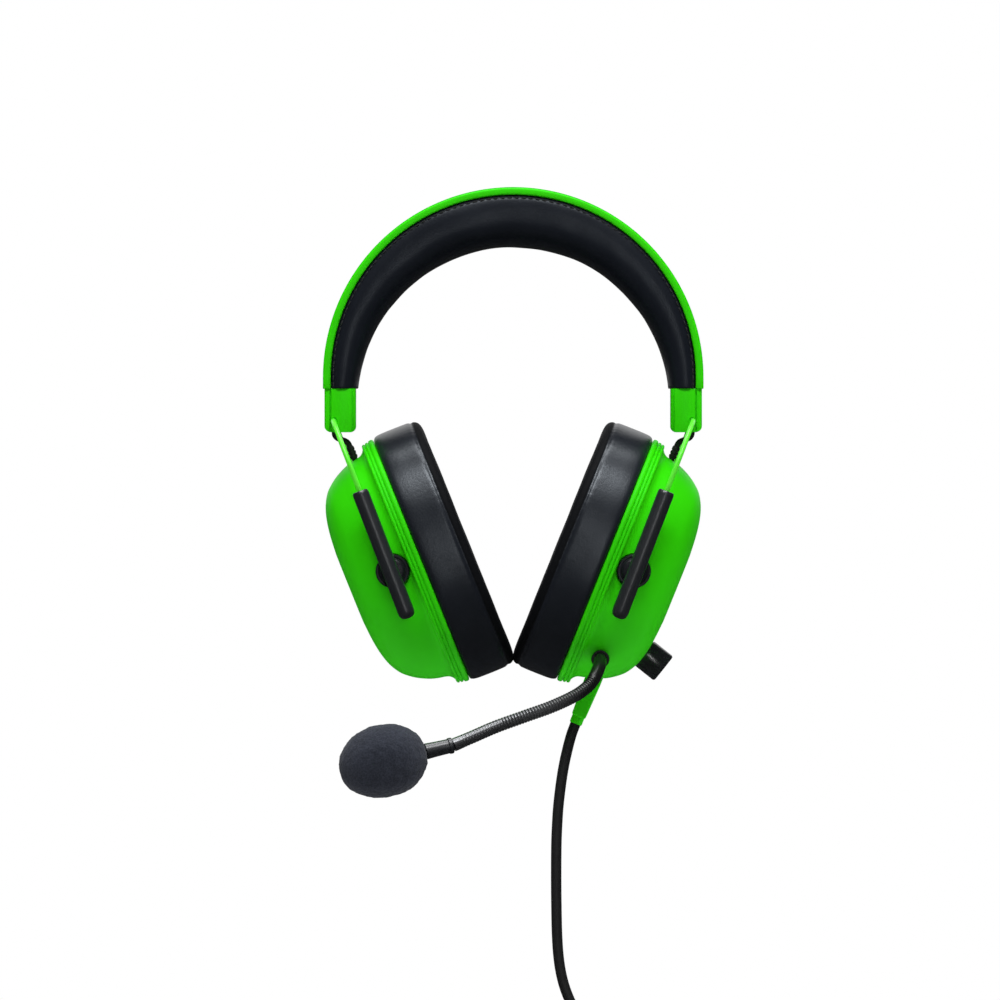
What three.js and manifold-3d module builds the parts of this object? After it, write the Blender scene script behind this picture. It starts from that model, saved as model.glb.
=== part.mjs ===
// Over-ear headset with a gooseneck microphone: green cups hung in wire yokes from a padded headband.
// Millimetres, +Z up, -Y is the wearer's front and +X the wearer's left. The origin is the middle of
// the headband pad's underside, where the headset rests on a head.
import * as THREE from 'three';
import { mergeVertices } from 'three/addons/utils/BufferGeometryUtils.js';
import Module from 'manifold-3d';

const wasm = await Module();
wasm.setup();

// ---- driving dimensions -------------------------------------------------------------------------
const GAP = 0.3; // clearance between neighbouring pieces

const BAND_WIDTH = 34; // front to back
const COVER_RADIUS = 72; // outside of the arch
const COVER_THICKNESS = 2.7;
const COVER_TOP = 22.6;
const PAD_RADIUS = 59; // underside of the pad
const PAD_WIDTH = 36;
const PAD_SOFT_EDGE = 3.5;
const BAND_END_Z = -53.4; // where cover and pad stop and the end caps begin
const SPRING_WIDTH = 14;
const SPRING_THICKNESS = 0.8;

const CAP_OUTER_X = 71.4;
const CAP_INNER_X = 59.6;
const CAP_BOTTOM_Z = -70.1;
const CAP_CORNER = 2.4;

const PIVOT_X = 45.6; // the cups' hinge line
const PIVOT_Z = -122.7;
const CUP_TILT = THREE.MathUtils.degToRad(22); // toe-in of the cups at rest
const WIRE_TILT = THREE.MathUtils.degToRad(21); // lean of wires and slider tubes

const WIRE_RADIUS = 0.95;
const WIRE_OFFSET = 0.6; // wires and tubes stand this far outside the hinge line
const WIRE_SPREAD = 42.6; // front and rear legs, from the middle
const WIRE_CROSSING = 61; // height of the stretch through the end cap, above the pivot
const WIRE_BEND = 22;
const WIRE_FOOT = -9;
const WIRE_STOP_RADIUS = 1.6;

const TUBE_RADIUS = 3.15;
const TUBE_BORE = 2.3;
const TUBE_TOP = 32.7;
const TUBE_BOTTOM = -18.75;
const TUBE_FLOOR = -14;
const BUSH_BORE = 1.3;
const BUSH_BOTTOM = 25;

const PIVOT_DISC_RADIUS = 6.35;
const PIVOT_SEAT_Y = 34.9;
const PIVOT_PIN_RADIUS = 2;
const PIVOT_BOSS_RADIUS = 8;

const OVAL_RATIO = 0.82; // a cup's width over its height
const OVAL_POWER = 2.3; // 2 is an ellipse, more is squarer
const OVAL_SIDES = 32;
const RING_OUTER = 49.2;
const RING_INNER = 42;
const RING_BACK = -6.9;
const RING_FRONT = -11.3;
const CUSHION_OUTER = 50;
const CUSHION_BACK = -11.7;
const CUSHION_FACE = -30.7;
const POCKET = 32; // half the height of the ear opening
const DRIVER_RADIUS = 25;
const BOSS_ORBIT = 34; // the three screw bosses inside a cup
const BOSS_ANGLES = [90, 210, 330];

const KNOB_RADIUS = 5.9;
const KNOB_END = new THREE.Vector3(24.6, 12, -30.1); // centre of the free end, in the cup's frame
const KNOB_LEAN = THREE.MathUtils.degToRad(16.5); // below the cup's outward direction
const KNOB_LENGTH = 13;

const GLAND_OFFSET = 1.3;
const GLAND_TOP = -40;
const GLAND_BOTTOM = -59;
const GLAND_NECK = -61;

const BOOM_RADIUS = 2.5;
const BOOM_SEAL_RADIUS = 3.3; // outside of the rubber ring where the boom enters the cup
const BOOM_BASE = [
  [32.9, -18, -156], [32.9, -23, -156], [32.9, -28, -156.1], [32.5, -34, -158.4], [30.9, -38.8, -162.2],
];
const BOOM_RAISE = [28.7, -42, -165.5]; // first bend of the gooseneck
const BOOM_MIDDLE = [[23.7, -47.5, -169.3], [14.7, -54, -173.5]];
const BOOM_SWING = [4, -59, -177.3]; // second bend of the gooseneck
const BOOM_TIP = [[-6.6, -62.5, -181.1], [-15, -65, -184.7]];
const FERRULE_START = [-22.5, -67, -187.9];
const FERRULE_LENGTH = 11;
const FOAM_CENTRE = [-49, -71.5, -194];
const FOAM_LENGTH = 34;
const FOAM_RADIUS = 13.5;

const LINK_RADIUS = 1.15;
const LINK_STUB_RADIUS = 1.1; // the part of the grommet that sits in the shell
const LINK_STUB_OFFSET = -2.5;
const LINK_ROUTE = [
  [67.7, 0, CAP_BOTTOM_Z - GAP], [67.5, 0, -71.3], [66.8, 0, -72.2], [65.6, 0, -72.8],
  [64.3, 0, -73.2], [63.2, 0, -73.7], [62.5, 0, -74.4], [62.08, 0, -75.2],
];

const CORD_RADIUS = 2;
const CORD_ROUTE = [
  [23.8, 0, -180.15], [22.9, 0, -182.4], [22.1, 0, -184.6], [21.3, 0, -187.4], [20.4, 0, -191],
  [19.5, 0, -195],
  [18.6, 0, -200], [17.8, 0, -205.7], [17.1, 0, -212], [16.7, 0, -218], [16.4, 0, -225],
  [16.3, 0, -233], [16.3, 0, -242], [16.4, 0, -251], [16.6, 0, -260], [17.1, 0, -268],
  [18.1, 0, -275], [19.8, 0, -281.3], [22.4, 0, -287.4], [26, 0, -293.4],
];
const COIL_CENTRE = [16.3, 0, -322.2];
const COIL_RADIUS = 22; // middle of the turns
const COIL_BUNDLE = 6.6; // radius of the bundle of turns
const TAIL_ROUTE = [[42.6, 0, -338.2], [42.8, 0, -341], [42.9, 0, -344.5], [42.9, 0, -348]];
const PLUG_RADIUS = 3.6;
const PLUG_LENGTH = 18;
const PIN_RADIUS = 1.75;
const PIN_LENGTH = 14;
const TIE_ANGLE = THREE.MathUtils.degToRad(30); // from the top of the coil

const finish = (color, roughness, metalness) =>
  new THREE.MeshStandardMaterial({ color, roughness, metalness });
const green = finish(0x3cd60a, 0.45, 0);
const blackPlastic = finish(0x1c1f22, 0.45, 0);
const leatherette = finish(0x17191c, 0.6, 0);
const steel = finish(0x9a9d9f, 0.35, 1);
const greenSteel = finish(0x3cd60a, 0.4, 0);
const foamBlack = finish(0x121315, 0.95, 0);
const clothBlack = finish(0x161719, 0.9, 0);
const rubberBlack = finish(0x17181a, 0.6, 0);
const boardGreen = finish(0x1d5a35, 0.5, 0);
const goldPin = finish(0xc8a24a, 0.3, 1);

// ---- helpers ------------------------------------------------------------------------------------
const vec = ([x, y, z]) => new THREE.Vector3(x, y, z);
const points2 = list => list.map(([x, y]) => new THREE.Vector2(x, y));

function solid(geometry) {
  const bare = geometry.clone();
  bare.deleteAttribute('normal');
  bare.deleteAttribute('uv');
  const merged = mergeVertices(bare, 1e-4);
  const p = merged.attributes.position.array;
  const t = Uint32Array.from(merged.index.array);
  let volume = 0;
  for (let i = 0; i < t.length; i += 3) {
    const [a, b, c] = [t[i] * 3, t[i + 1] * 3, t[i + 2] * 3];
    volume += p[a] * (p[b + 1] * p[c + 2] - p[b + 2] * p[c + 1]);
    volume += p[a + 1] * (p[b + 2] * p[c] - p[b] * p[c + 2]);
    volume += p[a + 2] * (p[b] * p[c + 1] - p[b + 1] * p[c]);
  }
  if (volume < 0) {
    for (let i = 0; i < t.length; i += 3) [t[i], t[i + 1]] = [t[i + 1], t[i]];
  }
  const mesh = new wasm.Mesh({ numProp: 3, vertProperties: Float32Array.from(p), triVerts: t });
  return new wasm.Manifold(mesh);
}

function geometryOf(manifold) {
  const { vertProperties, triVerts } = manifold.getMesh();
  const geometry = new THREE.BufferGeometry();
  geometry.setAttribute('position', new THREE.BufferAttribute(Float32Array.from(vertProperties), 3));
  geometry.setIndex(new THREE.BufferAttribute(Uint32Array.from(triVerts), 1));
  geometry.computeVertexNormals();
  return geometry;
}

function piece(parent, name, material, shape) {
  const geometry = geometryOf(shape instanceof THREE.BufferGeometry ? solid(shape) : shape);
  const mesh = new THREE.Mesh(geometry, material);
  mesh.name = name;
  parent.add(mesh);
  return mesh;
}

// A round piece about local Z from (radius, height) points.
const turned = (profile, sides = 24) =>
  new THREE.LatheGeometry(points2(profile), sides).rotateX(Math.PI / 2);

function cylinder(radius, from, to, sides = 24) {
  return turned([[0, from], [radius, from], [radius, to], [0, to]], sides);
}

const ring = (inner, outer, from, to, sides = 24) =>
  turned([[inner, from], [outer, from], [outer, to], [inner, to], [inner, from]], sides);

// Turns a piece from local Z onto a direction, then moves it to a place.
function aimed(geometry, direction, place) {
  const turn = new THREE.Quaternion().setFromUnitVectors(new THREE.Vector3(0, 0, 1), direction);
  return geometry.applyQuaternion(turn).translate(place.x, place.y, place.z);
}

// An oval cup-shaped piece about local X from (half height, distance along X) points.
function oval(profile) {
  const geometry = new THREE.LatheGeometry(points2(profile), OVAL_SIDES);
  const position = geometry.attributes.position;
  for (let i = 0; i < position.count; i += 1) {
    const along = position.getY(i);
    const radius = Math.hypot(position.getX(i), position.getZ(i));
    const [y, z] = ovalPoint(radius, Math.atan2(position.getZ(i), position.getX(i)));
    position.setXYZ(i, along, y, z);
  }
  return geometry;
}

function ovalPoint(radius, angle) {
  const [c, s] = [Math.cos(angle), Math.sin(angle)];
  const reach = (Math.abs(c) ** OVAL_POWER + Math.abs(s) ** OVAL_POWER) ** (-1 / OVAL_POWER);
  return [OVAL_RATIO * radius * reach * c, radius * reach * s];
}

function tubeAlong(route, radius, sides, steps) {
  const section = new THREE.Shape();
  for (let i = 0; i < sides; i += 1) {
    const angle = (i * 2 * Math.PI) / sides;
    const [x, y] = [radius * Math.cos(angle), radius * Math.sin(angle)];
    if (i === 0) section.moveTo(x, y);
    else section.lineTo(x, y);
  }
  const extrudePath = new THREE.CatmullRomCurve3(route.map(vec), false, 'centripetal');
  return new THREE.ExtrudeGeometry(section, { extrudePath, steps, bevelEnabled: false });
}

// An outline in the X-Z plane given a width along Y, with softened front and back edges.
function slab(shape, width, soft, curveSegments = 20) {
  return new THREE.ExtrudeGeometry(shape, {
    depth: width - 2 * soft,
    bevelEnabled: soft > 0,
    bevelThickness: soft,
    bevelSize: soft,
    bevelOffset: -soft,
    bevelSegments: 2,
    curveSegments,
  }).rotateX(Math.PI / 2).translate(0, width / 2 - soft, 0);
}

const block = (x1, x2, y1, y2, z1, z2) =>
  new THREE.BoxGeometry(x2 - x1, y2 - y1, z2 - z1).translate((x1 + x2) / 2, (y1 + y2) / 2, (z1 + z2) / 2);

const headset = new THREE.Group();
headset.name = 'headset';

// ---- headband -----------------------------------------------------------------------------------
const ARCH_Z = COVER_TOP - COVER_RADIUS; // centre of the cover's round outside

function arch(outer, inner, endZ) {
  const shape = new THREE.Shape();
  shape.moveTo(outer, endZ);
  shape.lineTo(outer, ARCH_Z);
  shape.absarc(0, ARCH_Z, outer, 0, Math.PI, false);
  shape.lineTo(-outer, endZ);
  shape.lineTo(-inner, endZ);
  shape.lineTo(-inner, ARCH_Z);
  shape.absarc(0, ARCH_Z, inner, Math.PI, 0, true);
  shape.lineTo(inner, endZ);
  return shape;
}

const coverInner = COVER_RADIUS - COVER_THICKNESS;
const padOuter = coverInner - GAP;
const springOuter = padOuter - GAP;
const springInner = springOuter - SPRING_THICKNESS;
const springEnd = CAP_BOTTOM_Z + 8;
piece(headset, 'headband_cover', green, slab(arch(COVER_RADIUS, coverInner, BAND_END_Z), BAND_WIDTH, 0.9));

const padShape = new THREE.Shape();
const padEndAngle = Math.asin((BAND_END_Z + PAD_RADIUS) / PAD_RADIUS);
padShape.moveTo(padOuter, BAND_END_Z);
padShape.lineTo(padOuter, ARCH_Z);
padShape.absarc(0, ARCH_Z, padOuter, 0, Math.PI, false);
padShape.lineTo(-padOuter, BAND_END_Z);
padShape.absarc(0, -PAD_RADIUS, PAD_RADIUS, Math.PI - padEndAngle, padEndAngle, true);
const springChannel = slab(arch(padOuter + 1, springInner - GAP, BAND_END_Z - 1), SPRING_WIDTH + 2 * GAP, 0);
const padBody = solid(slab(padShape, PAD_WIDTH, PAD_SOFT_EDGE)).subtract(solid(springChannel));
piece(headset, 'headband_pad', leatherette, padBody);
piece(headset, 'headband_spring', steel, slab(arch(springOuter, springInner, springEnd), SPRING_WIDTH, 0));

// ---- one side: end cap, yoke wire, slider tubes, cup --------------------------------------------
const wireHoleX = PIVOT_X + WIRE_OFFSET * Math.cos(WIRE_TILT) + WIRE_CROSSING * Math.sin(WIRE_TILT);
const wireHoleZ = PIVOT_Z - WIRE_OFFSET * Math.sin(WIRE_TILT) + WIRE_CROSSING * Math.cos(WIRE_TILT);

function endCap() {
  const shape = new THREE.Shape();
  const top = BAND_END_Z - GAP;
  shape.moveTo(CAP_OUTER_X, top);
  shape.lineTo(CAP_INNER_X, top);
  shape.lineTo(CAP_INNER_X, CAP_BOTTOM_Z + CAP_CORNER);
  shape.quadraticCurveTo(CAP_INNER_X, CAP_BOTTOM_Z, CAP_INNER_X + CAP_CORNER, CAP_BOTTOM_Z);
  shape.lineTo(CAP_OUTER_X - CAP_CORNER, CAP_BOTTOM_Z);
  shape.quadraticCurveTo(CAP_OUTER_X, CAP_BOTTOM_Z, CAP_OUTER_X, CAP_BOTTOM_Z + CAP_CORNER);
  const slot = block(springInner - GAP, springOuter + GAP, -SPRING_WIDTH / 2 - GAP, SPRING_WIDTH / 2 + GAP,
    springEnd - GAP, 0);
  const crossing = cylinder(WIRE_RADIUS + GAP, -BAND_WIDTH, BAND_WIDTH, 16).rotateX(Math.PI / 2)
    .translate(wireHoleX, 0, wireHoleZ);
  const screwHole = cylinder(1.5, 0, springInner - CAP_INNER_X, 16).rotateY(Math.PI / 2)
    .translate(CAP_INNER_X - 0.1, 0, springEnd + 3.5);
  const headRecess = cylinder(2.7, -1, 1.7, 16).rotateY(Math.PI / 2)
    .translate(CAP_INNER_X, 0, springEnd + 3.5);
  return solid(slab(shape, BAND_WIDTH, 1.1, 6)).subtract(solid(slot)).subtract(solid(crossing))
    .subtract(solid(screwHole)).subtract(solid(headRecess));
}

function capScrew() {
  const profile = [[0, 0], [2.3, 0], [2.3, 1.3], [1.15, 1.3], [1.15, 6.9], [0, 6.9]];
  return turned(profile, 10).rotateY(Math.PI / 2).translate(CAP_INNER_X + 0.1, 0, springEnd + 3.5);
}

// The yoke: one bent wire in the frame of the slider tubes, its crossing inside the end cap.
function yokeWire() {
  const bendCentre = WIRE_CROSSING - WIRE_BEND;
  const half = [];
  for (let i = 0; i <= 6; i += 1) {
    const angle = (i * Math.PI) / 12;
    half.push([WIRE_OFFSET, WIRE_SPREAD - WIRE_BEND + WIRE_BEND * Math.cos(angle),
      bendCentre + WIRE_BEND * Math.sin(angle)]);
  }
  const leg = [WIRE_FOOT, 5, 20, bendCentre - 6].map(z => [WIRE_OFFSET, WIRE_SPREAD, z]);
  const rear = [...leg, ...half];
  const front = rear.map(([x, y, z]) => [x, -y, z]).reverse();
  let wire = solid(tubeAlong([...rear, [WIRE_OFFSET, 0, WIRE_CROSSING], ...front], WIRE_RADIUS, 8, 42));
  for (const y of [-WIRE_SPREAD, WIRE_SPREAD]) {
    const stop = cylinder(WIRE_STOP_RADIUS, WIRE_FOOT - 1.5, WIRE_FOOT + 0.5, 12).translate(WIRE_OFFSET, y, 0);
    wire = wire.add(solid(stop));
  }
  return wire;
}

function sliderTube() {
  return turned([
    [0, TUBE_BOTTOM], [1.8, TUBE_BOTTOM + 0.35], [2.8, TUBE_BOTTOM + 1.3], [TUBE_RADIUS, TUBE_BOTTOM + 2.8],
    [TUBE_RADIUS, TUBE_TOP - 1], [TUBE_RADIUS - 0.5, TUBE_TOP], [TUBE_BORE, TUBE_TOP],
    [TUBE_BORE, TUBE_FLOOR], [0, TUBE_FLOOR],
  ], 16);
}

// Pivot: a disc under the tube, a pin through the cup's wall and a head that keeps it there.
function pivotPin() {
  const discEnd = WIRE_SPREAD - TUBE_RADIUS - GAP;
  return turned([
    [0, PIVOT_SEAT_Y - 4.7], [3.2, PIVOT_SEAT_Y - 4.7], [3.2, PIVOT_SEAT_Y - 3.5],
    [PIVOT_PIN_RADIUS, PIVOT_SEAT_Y - 3.5], [PIVOT_PIN_RADIUS, PIVOT_SEAT_Y + GAP],
    [PIVOT_DISC_RADIUS, PIVOT_SEAT_Y + GAP], [PIVOT_DISC_RADIUS, discEnd - 0.7],
    [PIVOT_DISC_RADIUS - 0.7, discEnd], [0, discEnd],
  ], 20);
}

const shellOuter = [
  [47, -6.6], [45.3, -5.2], [44.6, -3.4], [43.9, 0.4], [42.3, 4.2], [39.2, 9.2], [36.6, 11.7], [32.3, 14.3],
  [28.5, 15.7], [22, 16.9], [14, 17.6], [0, 17.6],
];
const shellInner = [
  [0, 15.6], [14, 15.6], [21.5, 14.9], [27.6, 13.8], [31, 12.6], [34.9, 10.3], [37.4, 8], [40.2, 3.5],
  [41.8, 0.2], [42.5, -3.2], [44.9, -4.6], [44.9, -6.6],
];

const knobDirection = new THREE.Vector3(Math.cos(KNOB_LEAN), 0, -Math.sin(KNOB_LEAN));
const knobBase = KNOB_END.clone().addScaledVector(knobDirection, -KNOB_LENGTH);

function cupShell(hasControls) {
  const outer = solid(oval([[0, -6.6], ...shellOuter]));
  const hollow = solid(oval([...shellInner, [44.9, -8], [0, -8]]));
  let shell = outer.subtract(hollow);
  for (const angle of BOSS_ANGLES) {
    const [y, z] = ovalPoint(BOSS_ORBIT, THREE.MathUtils.degToRad(angle));
    const boss = cylinder(3, -4.6, 16, 14).rotateY(Math.PI / 2).translate(0, y, z);
    const bore = cylinder(1.4, -8, 6, 10).rotateY(Math.PI / 2).translate(0, y, z);
    shell = shell.add(outer.intersect(solid(boss))).subtract(solid(bore));
  }
  for (const turn of [-Math.PI / 2, Math.PI / 2]) {
    const boss = cylinder(PIVOT_BOSS_RADIUS, PIVOT_SEAT_Y - 3, PIVOT_SEAT_Y + 2, 20).rotateX(turn);
    const seat = cylinder(PIVOT_DISC_RADIUS + GAP, PIVOT_SEAT_Y, PIVOT_SEAT_Y + 9, 20).rotateX(turn);
    const hole = cylinder(PIVOT_PIN_RADIUS + GAP, PIVOT_SEAT_Y - 9, PIVOT_SEAT_Y + 9, 12).rotateX(turn);
    shell = shell.add(outer.intersect(solid(boss))).subtract(solid(seat)).subtract(solid(hole));
  }
  const stubHole = cylinder(LINK_STUB_RADIUS + GAP, 30, 60, 12).translate(LINK_STUB_OFFSET, 0, 0);
  shell = shell.subtract(solid(stubHole));
  if (!hasControls) return shell;
  const knobHole = aimed(cylinder(KNOB_RADIUS + 0.4, 0, 30, 24), knobDirection, knobBase);
  const glandHole = block(GLAND_OFFSET - 3.5, GLAND_OFFSET + 3.5, -4.1, 4.1, -55, -38);
  const boomHole = cylinder(BOOM_SEAL_RADIUS + GAP, 8, 40, 16).rotateX(Math.PI / 2);
  return shell.subtract(solid(knobHole)).subtract(solid(glandHole))
    .subtract(solid(boomHole.applyMatrix4(boomInCup)));
}

function trimRing() {
  const [steps, groove] = [[-8.2, -9.6], 0.35];
  const edge = [[RING_OUTER - 0.8, RING_BACK], [RING_OUTER, RING_BACK - 0.6]];
  for (const a of steps) {
    edge.push([RING_OUTER, a + 0.2], [RING_OUTER - groove, a], [RING_OUTER, a - 0.2]);
  }
  edge.push([RING_OUTER, RING_FRONT + 0.5], [RING_OUTER - 0.6, RING_FRONT]);
  return oval([[RING_INNER, RING_BACK], ...edge, [RING_INNER, RING_FRONT], [RING_INNER, RING_BACK]]);
}

function cushion() {
  const profile = [
    [POCKET + 1.5, CUSHION_BACK], [CUSHION_OUTER - 1.6, CUSHION_BACK], [CUSHION_OUTER, CUSHION_BACK - 2],
    [CUSHION_OUTER, CUSHION_FACE + 5], [CUSHION_OUTER - 1, CUSHION_FACE + 2.4],
    [CUSHION_OUTER - 3.6, CUSHION_FACE + 0.6], [CUSHION_OUTER - 8.5, CUSHION_FACE],
    [POCKET + 5, CUSHION_FACE + 0.5], [POCKET + 1.6, CUSHION_FACE + 2.6], [POCKET, CUSHION_FACE + 6],
    [POCKET, CUSHION_BACK - 3],
  ];
  return oval([...profile, profile[0]]);
}

function baffle() {
  let plate = solid(oval([[0, -6.6], [44.5, -6.6], [44.5, -5], [0, -5]]));
  plate = plate.subtract(solid(cylinder(22, -9, 0, 24).rotateY(Math.PI / 2)));
  for (const angle of BOSS_ANGLES) {
    const [y, z] = ovalPoint(BOSS_ORBIT, THREE.MathUtils.degToRad(angle));
    plate = plate.subtract(solid(cylinder(1.4, -9, 0, 12).rotateY(Math.PI / 2).translate(0, y, z)));
  }
  for (const turn of [-Math.PI / 2, Math.PI / 2]) {
    plate = plate.subtract(solid(cylinder(PIVOT_BOSS_RADIUS + GAP, 30, 40, 20).rotateX(turn)));
  }
  return plate;
}

function driver() {
  return turned([
    [0, -4.2], [21, -4.2], [21, -4.6], [DRIVER_RADIUS, -4.6], [DRIVER_RADIUS, -2.4], [21, -1.6], [19, 1],
    [12.5, 1], [12.5, 5.5], [0, 5.5],
  ], 24).rotateY(Math.PI / 2);
}

function baffleScrew(angle) {
  const [y, z] = ovalPoint(BOSS_ORBIT, THREE.MathUtils.degToRad(angle));
  const profile = [[0, -8.4], [1.9, -8.4], [2.3, -7.9], [2.3, -6.9], [1.1, -6.9], [1.1, 4], [0, 4]];
  return turned(profile, 8).rotateY(Math.PI / 2).translate(0, y, z);
}

function cupFrame(side) {
  const frame = new THREE.Group();
  frame.position.set(PIVOT_X, 0, PIVOT_Z);
  frame.rotation.y = CUP_TILT;
  side.add(frame);
  return frame;
}

// From the headset's frame into the left cup's, and for the boom's hole in that cup's wall.
const cupMatrix = new THREE.Matrix4().makeRotationY(CUP_TILT).setPosition(PIVOT_X, 0, PIVOT_Z);
const boomInCup = new THREE.Matrix4().makeTranslation(...BOOM_BASE[0]).premultiply(cupMatrix.clone().invert())
  .multiply(new THREE.Matrix4().makeTranslation(0, -BOOM_BASE[0][1], 0));

for (const [hand, mirror] of [['left', 1], ['right', -1]]) {
  const side = new THREE.Group();
  side.scale.x = mirror;
  headset.add(side);

  piece(side, `end_cap_${hand}`, green, endCap());
  piece(side, `cap_screw_${hand}`, steel, capScrew());
  piece(side, `link_cable_${hand}`, rubberBlack, tubeAlong(LINK_ROUTE, LINK_RADIUS, 8, 7));

  const slider = new THREE.Group();
  slider.position.set(PIVOT_X, 0, PIVOT_Z);
  slider.rotation.y = WIRE_TILT;
  side.add(slider);
  piece(slider, `yoke_wire_${hand}`, greenSteel, yokeWire());
  for (const [place, sign] of [['front', -1], ['rear', 1]]) {
    const tube = piece(slider, `slider_tube_${hand}_${place}`, blackPlastic, sliderTube());
    tube.position.set(WIRE_OFFSET, sign * WIRE_SPREAD, 0);
    const bush = ring(BUSH_BORE, TUBE_BORE - GAP, BUSH_BOTTOM, TUBE_TOP - 0.2, 10);
    piece(slider, `slider_bush_${hand}_${place}`, blackPlastic, bush).position.copy(tube.position);
    piece(slider, `pivot_pin_${hand}_${place}`, blackPlastic, pivotPin()).rotation.x = (-sign * Math.PI) / 2;
  }

  const cup = cupFrame(side);
  piece(cup, `cup_shell_${hand}`, green, cupShell(hand === 'left'));
  piece(cup, `trim_ring_${hand}`, green, trimRing());
  piece(cup, `baffle_${hand}`, blackPlastic, baffle());
  piece(cup, `driver_${hand}`, steel, driver());
  piece(cup, `ear_cushion_${hand}`, leatherette, cushion());
  const clothEdge = RING_INNER - GAP;
  piece(cup, `ear_cloth_${hand}`, clothBlack, oval([[0, -9.4], [clothEdge, -9.4], [clothEdge, -8.8], [0, -8.8]]));
  piece(cup, `link_grommet_${hand}`, rubberBlack, turned([
    [0, 41], [LINK_STUB_RADIUS, 41], [LINK_STUB_RADIUS, 45], [1.4, 45.4], [1.4, 49], [1.1, 49.8], [0, 49.8],
  ], 14)).position.x = LINK_STUB_OFFSET;
  BOSS_ANGLES.forEach((angle, i) => {
    piece(cup, `baffle_screw_${hand}_${i + 1}`, steel, baffleScrew(angle));
  });
}

// ---- left cup's controls and glands -------------------------------------------------------------
const leftCup = cupFrame(headset);
const knobProfile = [
  [0, -5], [1.8, -5], [1.8, 0], [KNOB_RADIUS - 0.4, 0], [KNOB_RADIUS - 0.4, 3.5], [KNOB_RADIUS, 3.8],
  [KNOB_RADIUS, KNOB_LENGTH - 0.7], [KNOB_RADIUS - 0.7, KNOB_LENGTH], [0, KNOB_LENGTH],
];
piece(leftCup, 'volume_knob', blackPlastic, aimed(turned(knobProfile, 20), knobDirection, knobBase));

const potBody = solid(block(-4.6, 4.6, -4.6, 4.6, -6.3, -1.2));
const potBore = solid(cylinder(1.8 + GAP, -5.3, 2, 14));
const potentiometer = geometryOf(potBody.subtract(potBore));
piece(leftCup, 'volume_potentiometer', steel, aimed(potentiometer, knobDirection, knobBase));
piece(leftCup, 'circuit_board', boardGreen, block(8, 9.2, -11, 11, -9, 23));

function cableGland() {
  const body = new THREE.BoxGeometry(6.3, 7.4, GLAND_TOP - GLAND_BOTTOM, 2, 2, 4);
  const position = body.attributes.position;
  const [neckScale, half] = [0.84, (GLAND_TOP - GLAND_BOTTOM) / 2];
  for (let i = 0; i < position.count; i += 1) {
    const low = Math.min(1, Math.max(0, (half - position.getZ(i) - 6) / (2 * half - 6)));
    const scale = 1 - (1 - neckScale) * low;
    position.setXY(i, position.getX(i) * scale, position.getY(i) * scale);
  }
  body.translate(GLAND_OFFSET, 0, (GLAND_TOP + GLAND_BOTTOM) / 2);
  const neck = cylinder(2.35, GLAND_NECK, GLAND_BOTTOM + 1, 16).translate(GLAND_OFFSET, 0, 0);
  return solid(body).add(solid(neck));
}
piece(leftCup, 'cable_gland', green, cableGland());

// ---- microphone boom ----------------------------------------------------------------------------
const grommet = ring(BOOM_RADIUS + GAP, BOOM_SEAL_RADIUS, -3, 3.2, 18).rotateX(Math.PI / 2);
piece(headset, 'boom_grommet', rubberBlack, grommet).position.set(BOOM_BASE[0][0], -24.5, BOOM_BASE[0][2]);

// Steps back from a bend along the boom, so that the round end of the next stretch can turn there.
function stoppedShort(route, bend) {
  const last = vec(route[route.length - 1]);
  const back = last.sub(vec(bend)).normalize().multiplyScalar(BOOM_RADIUS + GAP + 0.05);
  return [...route, vec(bend).add(back).toArray()];
}

function boomStretch(route) {
  const start = new THREE.SphereGeometry(BOOM_RADIUS, 10, 6).translate(...route[0]);
  return solid(tubeAlong(route, BOOM_RADIUS, 10, 9)).add(solid(start));
}
piece(headset, 'boom_base', rubberBlack, tubeAlong(stoppedShort(BOOM_BASE, BOOM_RAISE), BOOM_RADIUS, 10, 7));
piece(headset, 'boom_middle', rubberBlack, boomStretch([BOOM_RAISE, ...stoppedShort(BOOM_MIDDLE, BOOM_SWING)]));
piece(headset, 'boom_tip', rubberBlack, boomStretch([BOOM_SWING, ...BOOM_TIP, FERRULE_START]));

const micDirection = vec(FOAM_CENTRE).sub(vec(FERRULE_START)).normalize();
const ferruleProfile = [
  [0, 0.7], [2.6, 0.7], [2.9, 1.2], [2.9, 5.4], [2.6, 5.6], [2.6, 6.2], [2.9, 6.4], [2.9, 9],
  [2.3, FERRULE_LENGTH],
  [0, FERRULE_LENGTH],
];
piece(headset, 'mic_ferrule', blackPlastic, aimed(turned(ferruleProfile, 14), micDirection, vec(FERRULE_START)));
const capsuleStart = FERRULE_LENGTH + GAP;
const capsuleProfile = [
  [0, capsuleStart], [3.2, capsuleStart], [4.6, capsuleStart + 3], [4.6, capsuleStart + 13],
  [3.6, capsuleStart + 14], [0, capsuleStart + 14],
];
piece(headset, 'mic_capsule', blackPlastic, aimed(turned(capsuleProfile, 12), micDirection, vec(FERRULE_START)));

function windscreen() {
  const foamMiddle = vec(FOAM_CENTRE).sub(vec(FERRULE_START)).length();
  const start = foamMiddle - FOAM_LENGTH / 2;
  const profile = [[0, capsuleStart + 14 + GAP], [4.6 + GAP, capsuleStart + 14 + GAP], [4.6 + GAP, capsuleStart + 2.9],
    [3.5, capsuleStart], [3.5, start]];
  const steps = 9;
  for (let i = 1; i <= steps; i += 1) {
    const t = i / steps;
    const along = start + FOAM_LENGTH * (1 - Math.cos(Math.PI * t)) / 2;
    profile.push([Math.max(0, FOAM_RADIUS * Math.sin(Math.PI * t) ** 0.85 * (1.06 - 0.06 * t)), along]);
  }
  profile[profile.length - 1][0] = 0;
  return turned(profile, 20);
}
piece(headset, 'foam_windscreen', foamBlack, aimed(windscreen(), micDirection, vec(FERRULE_START)));

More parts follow.
